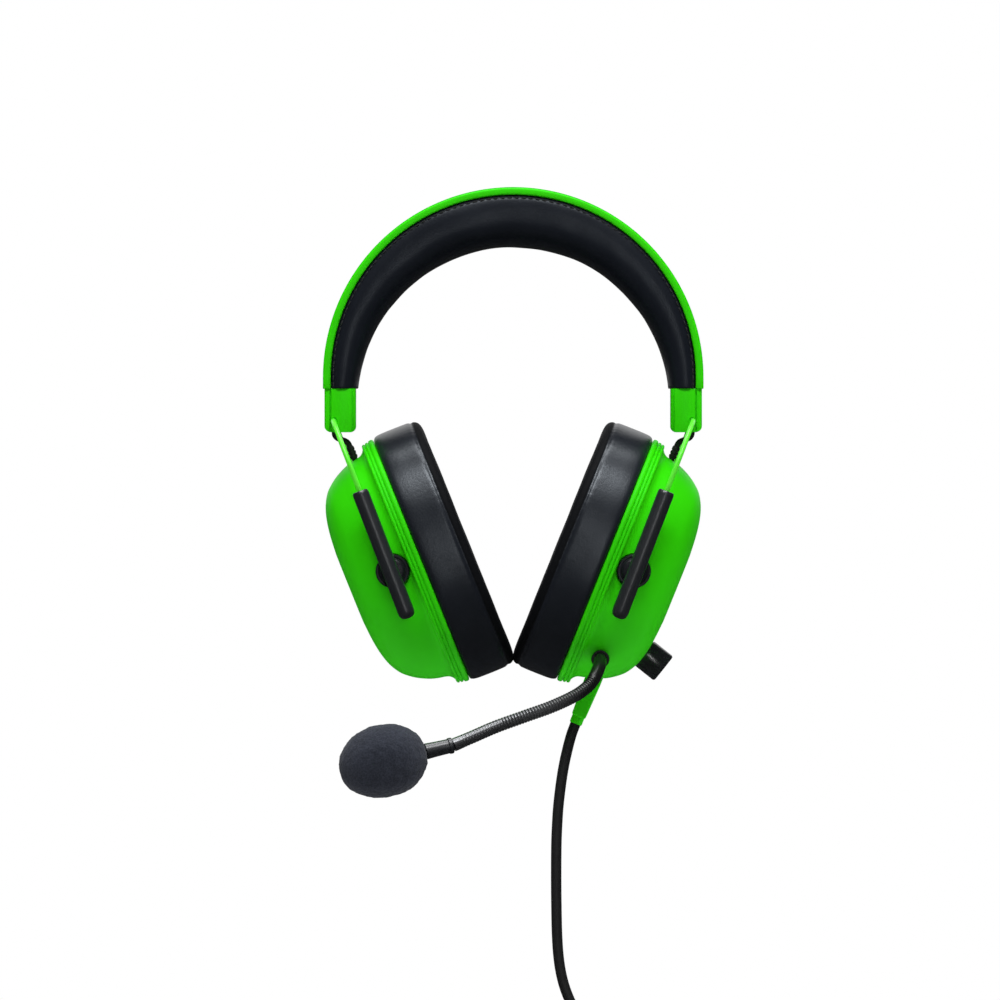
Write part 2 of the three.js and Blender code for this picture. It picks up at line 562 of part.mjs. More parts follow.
// ---- main cable, wound and tied below the headset -----------------------------------------------
piece(headset, 'cable', rubberBlack, tubeAlong(CORD_ROUTE, CORD_RADIUS, 8, 24));

const bundle = [];
for (let i = 0; i <= 10; i += 1) {
  const angle = (i * Math.PI) / 5;
  bundle.push([COIL_RADIUS + COIL_BUNDLE * Math.cos(angle), COIL_BUNDLE * Math.sin(angle)]);
}
piece(headset, 'cable_coil', rubberBlack, new THREE.LatheGeometry(points2(bundle), 28)).position.set(...COIL_CENTRE);
piece(headset, 'cable_tail', rubberBlack, tubeAlong(TAIL_ROUTE, CORD_RADIUS, 8, 4));

const tie = piece(headset, 'cable_tie', blackPlastic, ring(7.5, 8.6, -4, 4, 16).rotateY(Math.PI / 2 - TIE_ANGLE));
tie.position.set(
  COIL_CENTRE[0] - COIL_RADIUS * Math.sin(TIE_ANGLE), 0, COIL_CENTRE[2] + COIL_RADIUS * Math.cos(TIE_ANGLE),
);

const plugTop = TAIL_ROUTE[TAIL_ROUTE.length - 1];
const plugProfile = [
  [0, -GAP], [2.4, -GAP], [2.6, -6], [PLUG_RADIUS, -7.5], [PLUG_RADIUS, -7.5 - PLUG_LENGTH], [0, -7.5 - PLUG_LENGTH],
];
const pinTop = -7.5 - PLUG_LENGTH - GAP;
piece(headset, 'plug_body', blackPlastic, turned(plugProfile, 14)).position.set(...plugTop);
const pinProfile = [
  [0, pinTop], [2.6, pinTop], [2.6, pinTop - 1], [PIN_RADIUS, pinTop - 1], [PIN_RADIUS, pinTop - PIN_LENGTH + 3],
  [1.2, pinTop - PIN_LENGTH + 2.2], [1.6, pinTop - PIN_LENGTH + 1.4], [0, pinTop - PIN_LENGTH],
];
piece(headset, 'plug_pin', goldPin, turned(pinProfile, 12)).position.set(...plugTop);

export default headset;
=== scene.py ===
# %% [markdown]
# # A headset with a gooseneck microphone
#
# The frame holds every part of a green and black over-ear headset at its real place and size, in
# metres: the band, the wire yokes, the cups and the microphone boom. This lesson gives those parts
# their finished surfaces. Hard pieces are spun, extruded and cut as a model maker would do it, soft
# ones are blown up by a cloth simulation, and the cable is laid at its full length.

# %% Load the frame
import math

import bpy
from mathutils import Matrix, Vector, noise


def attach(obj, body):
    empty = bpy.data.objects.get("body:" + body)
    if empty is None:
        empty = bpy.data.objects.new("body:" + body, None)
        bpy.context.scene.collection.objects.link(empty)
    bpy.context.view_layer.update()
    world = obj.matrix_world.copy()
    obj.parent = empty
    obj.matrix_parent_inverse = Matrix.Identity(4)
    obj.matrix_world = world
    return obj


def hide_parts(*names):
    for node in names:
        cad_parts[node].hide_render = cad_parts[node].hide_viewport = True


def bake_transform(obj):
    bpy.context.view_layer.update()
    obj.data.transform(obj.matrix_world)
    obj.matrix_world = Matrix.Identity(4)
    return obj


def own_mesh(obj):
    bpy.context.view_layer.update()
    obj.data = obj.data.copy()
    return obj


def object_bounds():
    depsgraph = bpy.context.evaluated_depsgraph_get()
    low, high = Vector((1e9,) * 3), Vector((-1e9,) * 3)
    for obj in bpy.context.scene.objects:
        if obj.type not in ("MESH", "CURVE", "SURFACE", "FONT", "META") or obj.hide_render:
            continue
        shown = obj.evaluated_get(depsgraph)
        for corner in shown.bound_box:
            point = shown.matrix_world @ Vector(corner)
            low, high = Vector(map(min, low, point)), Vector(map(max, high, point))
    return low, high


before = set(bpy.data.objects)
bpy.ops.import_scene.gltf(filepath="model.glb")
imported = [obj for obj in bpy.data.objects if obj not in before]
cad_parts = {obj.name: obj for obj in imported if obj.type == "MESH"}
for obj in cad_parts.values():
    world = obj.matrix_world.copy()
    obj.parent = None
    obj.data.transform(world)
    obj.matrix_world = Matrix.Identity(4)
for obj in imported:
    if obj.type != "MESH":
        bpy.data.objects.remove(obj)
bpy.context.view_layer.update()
MM = 0.001

# %% [markdown]
# ## Camera
#
# A product camera stands far back with a long lens, so that nothing near it swells. The headset is
# seen straight from the front, at the height of the middle of the view. Far away and narrow gives
# the same framing as close and wide, but keeps the two cups' outlines alike.

# %% Camera
VIEW_WIDTH = 379 * MM
VIEW_CENTRE = Vector((-5 * MM, 0, -95.8 * MM))
CAMERA_DISTANCE = 8.0
SENSOR = 36

camera_data = bpy.data.cameras.new("product_camera")
camera_data.sensor_width = SENSOR
camera_data.lens = SENSOR * CAMERA_DISTANCE / VIEW_WIDTH
camera = bpy.data.objects.new("product_camera", camera_data)
bpy.context.scene.collection.objects.link(camera)
camera.location = VIEW_CENTRE + Vector((0, -CAMERA_DISTANCE, 0))
camera.rotation_euler = (math.radians(90), 0, 0)
bpy.context.scene.camera = camera
bpy.context.scene.view_settings.view_transform = 'Standard'
print("lens, mm:", round(camera_data.lens, 1))

# %% [markdown]
# ## The bench tools
#
# A few small tools make almost every piece. `lathe` spins an outline about an axis. `cup_oval`
# squeezes a spun piece into the cups' oval. `sheet_of_points` lays a grid and bends it by a rule.
# `swept` pushes a round section along a path and `block` is a plain box. `cut` and `bevelled` use
# modifiers and apply them, and `picked` opens a piece with only some of its points selected.

# %% Selecting, applying and joining
def only(obj):
    """Select one object and nothing else."""
    if bpy.context.object and bpy.context.object.mode != 'OBJECT':
        bpy.ops.object.mode_set(mode='OBJECT')
    bpy.ops.object.select_all(action='DESELECT')
    obj.select_set(True)
    bpy.context.view_layer.objects.active = obj


def in_edit(obj):
    only(obj)
    bpy.ops.object.mode_set(mode='EDIT')
    bpy.ops.mesh.select_all(action='SELECT')


def out_of_edit():
    bpy.ops.object.mode_set(mode='OBJECT')


def picked(obj, wanted):
    """Open a piece for editing with only the wanted points selected."""
    in_edit(obj)
    bpy.ops.mesh.select_all(action='DESELECT')
    out_of_edit()
    for vertex in obj.data.vertices:
        vertex.select = wanted(vertex.co)
    only(obj)
    bpy.ops.object.mode_set(mode='EDIT')
    bpy.ops.mesh.select_mode(type='VERT')


def cleaned(obj, merge=1e-6):
    """Weld doubled points and turn every face outwards."""
    in_edit(obj)
    bpy.ops.mesh.remove_doubles(threshold=merge)
    bpy.ops.mesh.normals_make_consistent(inside=False)
    out_of_edit()
    return obj


def applied(obj, kind, **settings):
    """Add a modifier, set it and apply it."""
    only(obj)
    modifier = obj.modifiers.new(kind.lower(), kind)
    for name, value in settings.items():
        setattr(modifier, name, value)
    bpy.ops.object.modifier_apply(modifier=modifier.name)
    return obj


def bevelled(obj, width, segments=3, angle=35):
    return applied(obj, 'BEVEL', width=width, segments=segments, limit_method='ANGLE',
                   angle_limit=math.radians(angle), use_clamp_overlap=True)


def smoothed(obj, angle=38):
    only(obj)
    bpy.ops.object.shade_smooth_by_angle(angle=math.radians(angle))
    return obj


def moved(obj, matrix):
    """Put a piece in its place and leave its object at the origin."""
    only(obj)
    obj.matrix_world = matrix
    bpy.ops.object.transform_apply(location=True, rotation=True, scale=True)
    return cleaned(obj) if matrix.determinant() < 0 else obj


def copied(obj, name, matrix):
    only(obj)
    bpy.ops.object.duplicate()
    twin = bpy.context.object
    twin.name = twin.data.name = name
    return moved(twin, matrix)


def joined(name, *parts):
    only(parts[0])
    for part in parts[1:]:
        part.select_set(True)
    bpy.ops.object.join()
    parts[0].name = parts[0].data.name = name
    return parts[0]


def cut(obj, *cutters, operation='DIFFERENCE'):
    """Cut an object with others, which are used up."""
    for cutter in cutters:
        applied(obj, 'BOOLEAN', object=cutter, operation=operation, solver='MANIFOLD')
        bpy.data.objects.remove(cutter)
    return obj


# %% Outlines, lathe and oval
def mesh_object(name, points, edges=(), faces=()):
    mesh = bpy.data.meshes.new(name)
    mesh.from_pydata([tuple(p) for p in points], list(edges), list(faces))
    obj = bpy.data.objects.new(name, mesh)
    bpy.context.scene.collection.objects.link(obj)
    return obj


def flowing(points, per, closed=False):
    """A smooth line through points of any dimension: a Catmull-Rom curve."""
    points = [Vector(p) for p in points]
    count = len(points)
    stretches = count if closed else count - 1
    line = []
    for i in range(stretches):
        if closed:
            a, b, c, d = (points[(i + k - 1) % count] for k in range(4))
        else:
            b, c = points[i], points[i + 1]
            a = points[i - 1] if i else 2 * b - c
            d = points[i + 2] if i + 2 < count else 2 * c - b
        for step in range(per):
            t = step / per
            line.append(0.5 * (2 * b + (c - a) * t + (2 * a - 5 * b + 4 * c - d) * t ** 2
                               + (3 * b - 3 * c + d - a) * t ** 3))
    if not closed:
        line.append(points[-1])
    return line


def lathe(name, outline, steps=72, closed=False):
    """Spin an outline of (radius, height) in millimetres about Z. A step along the axis is left open."""
    points = [(r * MM, 0, h * MM) for r, h in outline]
    count = len(points)
    edges = [(i, (i + 1) % count) for i in range(count if closed else count - 1)]
    edges = [(a, b) for a, b in edges if outline[a][0] + outline[b][0] > 0]
    obj = mesh_object(name, points, edges)
    in_edit(obj)
    bpy.ops.mesh.spin(steps=steps, angle=2 * math.pi, center=(0, 0, 0), axis=(0, 0, 1))
    out_of_edit()
    return cleaned(obj)


OVAL_RATIO = 0.82
OVAL_POWER = 2.3
OVAL_STEPS = 192


def oval_point(radius, angle):
    c, s = math.cos(angle), math.sin(angle)
    reach = (abs(c) ** OVAL_POWER + abs(s) ** OVAL_POWER) ** (-1 / OVAL_POWER)
    return OVAL_RATIO * radius * reach * c, radius * reach * s


def cup_oval(name, outline, closed=False):
    """A spun piece squeezed into the cups' oval; its axis becomes X, pointing out of the cup."""
    obj = lathe(name, outline, OVAL_STEPS, closed)
    for vertex in obj.data.vertices:
        x, y, along = vertex.co
        width, height = oval_point(math.hypot(x, y), math.atan2(y, x))
        vertex.co = (along, width, height)
    return cleaned(obj)


# %% Bent grids and swept tubes
def sheet_of_points(name, rows, columns, rule, wrap_rows=False, wrap_columns=False):
    """A grid primitive whose point at (row, column) goes where the rule says."""
    bpy.ops.object.select_all(action='DESELECT')
    bpy.ops.mesh.primitive_grid_add(x_subdivisions=columns, y_subdivisions=rows, size=1)
    obj = bpy.context.object
    obj.name = obj.data.name = name
    across = columns + 1
    for vertex in obj.data.vertices:
        row, column = divmod(vertex.index, across)
        row = 0 if wrap_rows and row == rows else row
        column = 0 if wrap_columns and column == columns else column
        vertex.co = rule(row / rows, column / columns)
    return cleaned(obj)


def swept(name, path, radius, sides=16, swell=None):
    """A round tube along points in metres; swell(i) scales the radius at point i."""
    data = bpy.data.curves.new(name, 'CURVE')
    data.dimensions = '3D'
    data.bevel_depth = radius
    data.bevel_resolution = max(1, sides // 4 - 1)
    data.use_fill_caps = True
    spline = data.splines.new('POLY')
    spline.points.add(len(path) - 1)
    for i, point in enumerate(path):
        spline.points[i].co = (*point, 1)
        spline.points[i].radius = swell(i) if swell else 1
    obj = bpy.data.objects.new(name, data)
    bpy.context.scene.collection.objects.link(obj)
    only(obj)
    bpy.ops.object.convert(target='MESH')
    obj = bpy.context.object
    obj.name = obj.data.name = name
    return cleaned(obj, 1e-7)


def block(name, size, place=(0, 0, 0)):
    """A box of a size round a place, both in millimetres."""
    bpy.ops.object.select_all(action='DESELECT')
    bpy.ops.mesh.primitive_cube_add(size=1, location=Vector(place) * MM)
    obj = bpy.context.object
    obj.name = obj.data.name = name
    obj.scale = Vector(size) * MM
    bpy.ops.object.transform_apply(location=True, rotation=False, scale=True)
    return obj


def aimed(direction, place):
    """A matrix that turns Z onto a direction and moves to a place in metres."""
    turn = Vector((0, 0, 1)).rotation_difference(Vector(direction)).to_matrix().to_4x4()
    return Matrix.Translation(place) @ turn


# %% [markdown]
# ## Where things are
#
# Everything is measured from the middle of the headband pad's underside. Each cup has a frame of its
# own: X points out of the cup, Y to the rear and Z up along the cup. The yoke wires and slider tubes
# lean one degree less than the cups. The right side is the left side seen in a mirror.

# %% Frames of the cups and the wires
PIVOT = Vector((45.6, 0, -122.7)) * MM
CUP_TILT = math.radians(22)
WIRE_TILT = math.radians(21)
MIRROR = Matrix.Scale(-1, 4, (1, 0, 0))
CUP = {"left": Matrix.Translation(PIVOT) @ Matrix.Rotation(CUP_TILT, 4, 'Y')}
CUP["right"] = MIRROR @ CUP["left"]
WIRES = {"left": Matrix.Translation(PIVOT) @ Matrix.Rotation(WIRE_TILT, 4, 'Y')}
WIRES["right"] = MIRROR @ WIRES["left"]
SIDE = {"left": Matrix.Identity(4), "right": MIRROR}
HANDS = ("left", "right")
WIRE_RADIUS = 0.95
WIRE_OFFSET = 0.6
WIRE_SPREAD = 42.6
WIRE_CROSSING = 61.0
WIRE_BEND = 22.0


def mm(points):
    return [Vector(p) * MM for p in points]


# %% [markdown]
# ## The cable's route
#
# The cable leaves its strain relief pointing down the cup, swings to the vertical under its own
# weight and hangs. Below the view the rest of its 1.3 m is wound eight times round a coil about
# eleven cable diameters across, tied once, and the plug hangs from the last turn. One turn lies in
# the middle of the bundle and seven lie round it, each a cable's width from the next.

# %% Cable path
CORD_DIAMETER = 4 * MM
CORD_ROUTE = mm([
    (23.8, 0, -180.15), (22.9, 0, -182.4), (22.1, 0, -184.6), (21.3, 0, -187.4), (20.4, 0, -191),
    (19.5, 0, -195), (18.6, 0, -200), (17.8, 0, -205.7), (17.1, 0, -212), (16.7, 0, -218), (16.4, 0, -225),
    (16.3, 0, -233), (16.3, 0, -242), (16.4, 0, -251), (16.6, 0, -260), (17.1, 0, -268),
    (18.1, 0, -275), (19.8, 0, -281.3), (22.4, 0, -287.4), (26, 0, -293.4),
])
TAIL_ROUTE = mm([(42.6, 0, -338.2), (42.8, 0, -341), (42.9, 0, -344.5), (42.9, 0, -348)])
COIL_CENTRE = Vector((16.3, 0, -322.2)) * MM
COIL_RADIUS = 22 * MM
COIL_TURNS = 8
POINTS_PER_TURN = 24
RING_OF_TURNS = CORD_DIAMETER / 2 / math.sin(math.pi / (COIL_TURNS - 1))
MIDDLE_TURN = 4
CROSSES_FROM = 0.7
JOINS_AT = math.radians(60)
LEAVES_AT = math.radians(88)


def turn_place(turn):
    """Where a turn lies in the bundle: outwards from its middle, and along Y."""
    if turn == MIDDLE_TURN:
        return Vector((0, 0))
    order = turn if turn < MIDDLE_TURN else turn - 1
    angle = order * 2 * math.pi / (COIL_TURNS - 1)
    return RING_OF_TURNS * Vector((math.cos(angle), math.sin(angle)))


def coil_path():
    total = 2 * math.pi * COIL_TURNS + LEAVES_AT - JOINS_AT
    count = round(total / (2 * math.pi) * POINTS_PER_TURN)
    path = []
    for i in range(count + 1):
        run = total * i / count
        turn = min(int(run / (2 * math.pi)), COIL_TURNS - 1)
        through = run / (2 * math.pi) - turn
        shift = min(1, max(0, (through - CROSSES_FROM) / 0.3))
        shift = shift * shift * (3 - 2 * shift)
        place = turn_place(turn).lerp(turn_place(min(turn + 1, COIL_TURNS - 1)), shift)
        angle = JOINS_AT + run
        out = COIL_RADIUS + place.x
        path.append(COIL_CENTRE + Vector((out * math.sin(angle), place.y, out * math.cos(angle))))
    return path


cord_path = flowing(CORD_ROUTE + coil_path() + TAIL_ROUTE, 3)
cord_length = sum((b - a).length for a, b in zip(cord_path, cord_path[1:]))
print("cable length, m:", round(cord_length, 3))

# %% [markdown]
# ## Finishes
#
# Shader sums read best as sums. `Number` wraps one socket of a material, so that `1 - mask` adds the
# Math node itself. `Finish` starts a material and makes any other node with one method. Patterns run
# on Object coordinates, in metres, so a scale of 1000 gives cells of about a millimetre.

# %% Shader words
class Number:
    """A number inside a material. Sums and products of Numbers add Math nodes."""

    def __init__(self, finish, socket):
        self.finish, self.socket = finish, socket

    def math(self, operation, first, second):
        node = self.finish.node('ShaderNodeMath', {"operation": operation}, {0: first, 1: second})
        return Number(self.finish, node.outputs[0])

    def __add__(self, other):
        return self.math('ADD', self, other)

    def __mul__(self, other):
        return self.math('MULTIPLY', self, other)

    def __rsub__(self, other):
        return self.math('SUBTRACT', other, self)

    def over(self, other):
        return self.math('GREATER_THAN', self, other)

    def power(self, other):
        return self.math('POWER', self, other)

    __radd__ = __add__


class Finish:
    """A material with a Principled shader, and one way to add any node."""

    def __init__(self, name, **constants):
        self.material = bpy.data.materials.new(name)
        self.material.use_nodes = True
        self.tree = self.material.node_tree
        self.shader = self.tree.nodes["Principled BSDF"]
        for socket, value in constants.items():
            self.shader.inputs[socket.replace("_", " ")].default_value = value
        self.place = self.node('ShaderNodeTexCoord').outputs["Object"]

    def node(self, kind, settings=None, sockets=None):
        node = self.tree.nodes.new(kind)
        for name, value in (settings or {}).items():
            setattr(node, name, value)
        for name, value in (sockets or {}).items():
            self.feed(node.inputs[name], value)
        return node

    def feed(self, socket, value):
        if isinstance(value, Number):
            value = value.socket
        if isinstance(value, bpy.types.NodeSocket):
            self.tree.links.new(value, socket)
        else:
            socket.default_value = value

    def noise(self, scale, detail):
        node = self.node('ShaderNodeTexNoise', sockets={
            "Vector": self.place, "Scale": scale, "Detail": detail})
        return Number(self, node.outputs["Fac"])

    def cells(self, scale, feature='F1'):
        node = self.node('ShaderNodeTexVoronoi', {"feature": feature},
                         {"Vector": self.place, "Scale": scale})
        return Number(self, node.outputs["Distance"])

    def colour(self, factor, low, high):
        """The base colour, from low to high as factor goes from 0 to 1."""
        node = self.node('ShaderNodeMix', {"data_type": 'RGBA'}, {0: factor, 6: (*low, 1), 7: (*high, 1)})
        self.feed(self.shader.inputs["Base Color"], node.outputs[2])

    def attribute(self, name):
        """A number painted on the piece's points."""
        return Number(self, self.node('ShaderNodeAttribute', {"attribute_name": name}).outputs["Fac"])

    def along(self, axis, low, high):
        """From 0 to 1 between two places along an axis of the piece, in metres."""
        parts = self.node('ShaderNodeSeparateXYZ', sockets={0: self.place})
        share = self.node('ShaderNodeMapRange', {"interpolation_type": 'SMOOTHSTEP'},
                          {"Value": parts.outputs[axis], "From Min": low, "From Max": high})
        return Number(self, share.outputs[0])

    def second_cover(self, share, colour, roughness, gloss):
        """A second, plainer shader shows where share is 1."""
        cover = self.node('ShaderNodeBsdfPrincipled', {}, {
            "Base Color": colour, "Roughness": roughness, "Specular IOR Level": gloss,
        })
        mix = self.node('ShaderNodeMixShader', {}, {0: share})
        self.tree.links.new(self.shader.outputs[0], mix.inputs[1])
        self.tree.links.new(cover.outputs[0], mix.inputs[2])
        self.tree.links.new(mix.outputs[0], self.tree.nodes["Material Output"].inputs["Surface"])

    def metallic(self, value):
        self.feed(self.shader.inputs["Metallic"], value)

    def roughness(self, value):
        self.feed(self.shader.inputs["Roughness"], value)

    def bumped(self, height, depth):
        """Height from 0 to 1, and how deep that is in metres."""
        node = self.node('ShaderNodeBump', sockets={"Height": height, "Distance": depth, "Strength": 1.0})
        self.feed(self.shader.inputs["Normal"], node.outputs["Normal"])


# %% [markdown]
# ### Green plastic and green paint
#
# The green parts are moulded in a bright, slightly satin plastic. The mould was spark-eroded, which
# leaves a very fine grain that softens the highlight. Colour hardly varies, only by a few percent
# where the melt flowed. The wires carry the same green as paint, thicker and glossier.

# %% Greens
def green_plastic():
    finish = Finish("green_plastic", Specular_IOR_Level=0.1)
    flow = finish.noise(60, 3)
    grain = finish.noise(4200, 2)
    finish.colour(flow, (0.028, 0.62, 0.001), (0.036, 0.70, 0.002))
    finish.roughness(0.40 + grain * 0.14)
    finish.bumped(grain, 0.008 * MM)
    return finish.material


def green_paint():
    finish = Finish("green_paint", Specular_IOR_Level=0.35, Coat_Weight=0.2, Coat_Roughness=0.25)
    orange_peel = finish.noise(900, 2)
    finish.colour(finish.noise(120, 2), (0.10, 0.80, 0.03), (0.12, 0.88, 0.04))
    finish.roughness(0.3 + orange_peel * 0.12)
    finish.bumped(orange_peel, 0.01 * MM)
    return finish.material


# %% [markdown]
# ### Black finishes
#
# Nine blacks tell the pieces apart: grained leatherette on cushions and pad, satin plastic on discs
# and bushes, a glossy one on the knob, a hard sheen on tubes and ferrule, rubber turning into steel
# on the boom, open foam, knitted ear cloth, rubber on the cable and sewing thread. None is pure
# black, and each has its own grain and gloss. A cushion's face and inner wall are a plainer, matt
# panel: a second cover, shown where its points are marked. Its darker colour is painted shade.

# %% Blacks
def leatherette(name, gloss, painted_shade_panel=None):
    finish = Finish(name, Specular_IOR_Level=gloss, Specular_Tint=(0.86, 0.93, 1.0, 1))
    pebbles = finish.cells(1300)
    creases = finish.cells(520, 'DISTANCE_TO_EDGE')
    soft = finish.noise(90, 4)
    finish.colour(soft, (0.0060, 0.0073, 0.0110), (0.0098, 0.0118, 0.0168))
    finish.roughness(0.28 + soft * 0.08 + pebbles * 0.05)
    finish.bumped(pebbles * 0.35 + creases.power(0.5) * 0.5, 0.03 * MM)
    if painted_shade_panel:
        # The second cover's darker colour is painted shade for the cushion's face, seen edge-on, and its inner
        # wall; the higher roughness is the panel's own matt finish.
        finish.second_cover(finish.attribute(painted_shade_panel), (0.0026, 0.0031, 0.0042, 1), 0.75, 0.12)
    return finish.material


def satin_black():
    finish = Finish("satin_black", Specular_IOR_Level=0.25)
    grain = finish.noise(3600, 2)
    finish.colour(finish.noise(150, 3), (0.006, 0.0072, 0.0095), (0.009, 0.0105, 0.0130))
    finish.roughness(0.3 + grain * 0.16)
    finish.bumped(grain, 0.02 * MM)
    return finish.material


def gloss_black():
    finish = Finish("gloss_black", Specular_IOR_Level=0.8)
    haze = finish.noise(260, 2)
    finish.colour(finish.noise(150, 3), (0.007, 0.0085, 0.0095), (0.011, 0.0125, 0.0140))
    finish.roughness(0.2 + haze * 0.07)
    finish.bumped(haze, 0.001 * MM)
    return finish.material


def tube_black():
    finish = Finish("tube_black", Specular_IOR_Level=1.0, Metallic=0.25)
    grain = finish.noise(3000, 3)
    finish.colour(finish.noise(200, 3), (0.011, 0.013, 0.016), (0.018, 0.021, 0.025))
    finish.roughness(0.34 + grain * 0.06)
    finish.bumped(grain, 0.002 * MM)
    return finish.material


def hose_finish():
    """Black rubber by the cup, turning into bare dark steel further along."""
    finish = Finish("hose_finish", Specular_IOR_Level=0.5)
    rubber = finish.along("X", -4 * MM, 30 * MM)
    wear = finish.noise(700, 3)
    steel = (1 - rubber) * (0.85 + wear * 0.3)
    finish.colour(steel, (0.005, 0.0052, 0.0056), (0.125, 0.128, 0.133))
    finish.metallic((1 - rubber) * 0.85)
    finish.roughness(0.26 + wear * 0.14)
    finish.bumped(wear, 0.004 * MM)
    return finish.material


def open_foam():
    finish = Finish("open_foam", Specular_IOR_Level=0.08, Sheen_Weight=0.08, Sheen_Roughness=0.6)
    pores = finish.cells(1500)
    lumps = finish.noise(260, 4)
    finish.colour(pores * 0.6 + lumps * 0.5, (0.007, 0.0085, 0.0125), (0.036, 0.041, 0.058))
    finish.roughness(0.9 + lumps * 0.08)
    finish.bumped(pores * 0.8 + lumps * 0.4, 0.15 * MM)
    return finish.material


def knitted_cloth():
    finish = Finish("knitted_cloth", Specular_IOR_Level=0.2, Sheen_Weight=0.3)
    rows = finish.node('ShaderNodeTexWave', {"wave_type": 'BANDS', "bands_direction": 'Z'},
                       {"Vector": finish.place, "Scale": 420.0, "Distortion": 0.6})
    columns = finish.node('ShaderNodeTexWave', {"wave_type": 'BANDS', "bands_direction": 'Y'},
                          {"Vector": finish.place, "Scale": 420.0, "Distortion": 0.6})
    loops = Number(finish, rows.outputs["Fac"]) * Number(finish, columns.outputs["Fac"])
    finish.colour(loops, (0.004, 0.004, 0.0045), (0.022, 0.022, 0.024))
    finish.roughness(0.85 + loops * 0.1)
    finish.bumped(loops, 0.15 * MM)
    return finish.material


def cable_rubber():
    finish = Finish("cable_rubber", Specular_IOR_Level=0.35)
    grain = finish.noise(2400, 3)
    finish.colour(finish.noise(300, 2), (0.008, 0.008, 0.0085), (0.013, 0.013, 0.0135))
    finish.roughness(0.5 + grain * 0.16)
    finish.bumped(grain, 0.03 * MM)
    return finish.material


def stitch_thread():
    finish = Finish("stitch_thread", Specular_IOR_Level=0.3, Sheen_Weight=0.3)
    ply = finish.node('ShaderNodeTexWave', {"wave_type": 'BANDS', "bands_direction": 'DIAGONAL'},
                      {"Vector": finish.place, "Scale": 900.0})
    finish.colour(Number(finish, ply.outputs["Fac"]), (0.004, 0.004, 0.005), (0.014, 0.014, 0.016))
    finish.roughness(0.75 + Number(finish, ply.outputs["Fac"]) * 0.1)
    finish.bumped(Number(finish, ply.outputs["Fac"]), 0.05 * MM)
    return finish.material


# %% [markdown]
# ### Metals and the circuit board
#
# The hidden spring, screws and drivers are plain steel with a fine brushed scatter. The plug's
# contacts are gold plated, and the board has a green solder mask that is darker than the plastic.

# %% Metals
def plain_steel():
    finish = Finish("plain_steel", Metallic=1.0)
    scatter = finish.noise(1800, 3)
    finish.colour(finish.noise(200, 2), (0.38, 0.39, 0.40), (0.50, 0.51, 0.52))
    finish.roughness(0.28 + scatter * 0.18)
    finish.bumped(scatter, 0.01 * MM)
    return finish.material


def gold_plate():
    finish = Finish("gold_plate", Metallic=1.0)
    haze = finish.noise(1500, 2)
    finish.colour(haze, (0.80, 0.55, 0.20), (0.88, 0.64, 0.27))
    finish.roughness(0.16 + haze * 0.12)
    finish.bumped(haze, 0.005 * MM)
    return finish.material


def solder_mask():
    finish = Finish("solder_mask", Coat_Weight=0.4, Coat_Roughness=0.2)
    tracks = finish.cells(450, 'DISTANCE_TO_EDGE').over(0.08)
    finish.colour(tracks, (0.03, 0.17, 0.07), (0.012, 0.09, 0.035))
    finish.roughness(0.3 + tracks * 0.1)
    finish.bumped(tracks, 0.03 * MM)
    return finish.material


FINISH = {
    "green_plastic": green_plastic(), "green_paint": green_paint(),
    "leatherette": leatherette("leatherette", 0.5, "painted_shade_face"),
    "pad_leatherette": leatherette("pad_leatherette", 0.2), "satin_black": satin_black(),
    "gloss_black": gloss_black(), "tube_black": tube_black(), "hose_finish": hose_finish(),
    "open_foam": open_foam(), "knitted_cloth": knitted_cloth(), "cable_rubber": cable_rubber(),
    "stitch_thread": stitch_thread(), "plain_steel": plain_steel(), "gold_plate": gold_plate(),
    "solder_mask": solder_mask(),
}


def finished(obj, finish, body=None, nodes=(), angle=38):
    """Give a piece its finish, hang it on its body and hide the frame nodes it stands for."""
    obj.data.materials.clear()
    obj.data.materials.append(FINISH[finish])
    smoothed(obj, angle)
    if body:
        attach(obj, body)
    if nodes:
        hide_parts(*nodes)
    return obj


# %% [markdown]
# ## The cable, its coil, tie and plug
#
# A cable is one closed tube of even thickness, so it is swept in one go. The tie is a band of hook
# and loop tape round the bundle. The plug has a ribbed sleeve, a knurled body and a gold pin with
# three black insulating rings.

# %% Cable and plug
cable = swept("cable_jacket", cord_path, CORD_DIAMETER / 2, 12)
finished(cable, "cable_rubber", "cup_left", ("cable", "cable_coil", "cable_tail"), 60)

TIE_ANGLE = math.radians(30)
tie_place = COIL_CENTRE + COIL_RADIUS * Vector((-math.sin(TIE_ANGLE), 0, math.cos(TIE_ANGLE)))
tie_along = (math.cos(TIE_ANGLE), 0, math.sin(TIE_ANGLE))
tie = lathe("tie_band", [(6.9, -4), (8.0, -4), (8.2, 0), (8.0, 4), (6.9, 4), (7.1, 0)], 48, True)
tie_end = lathe("tie_end", [(8.15, -3.6), (8.85, -3.6), (8.85, 3.6), (8.15, 3.6)], 48, True)
cut(tie_end, block("tie_cutter", (40, 40, 40), (20, 12, 0)))
tie = moved(bevelled(joined("tie_band", tie, tie_end), 0.2 * MM, 2), aimed(tie_along, tie_place))
finished(tie, "knitted_cloth", "cup_left", ("cable_tie",))

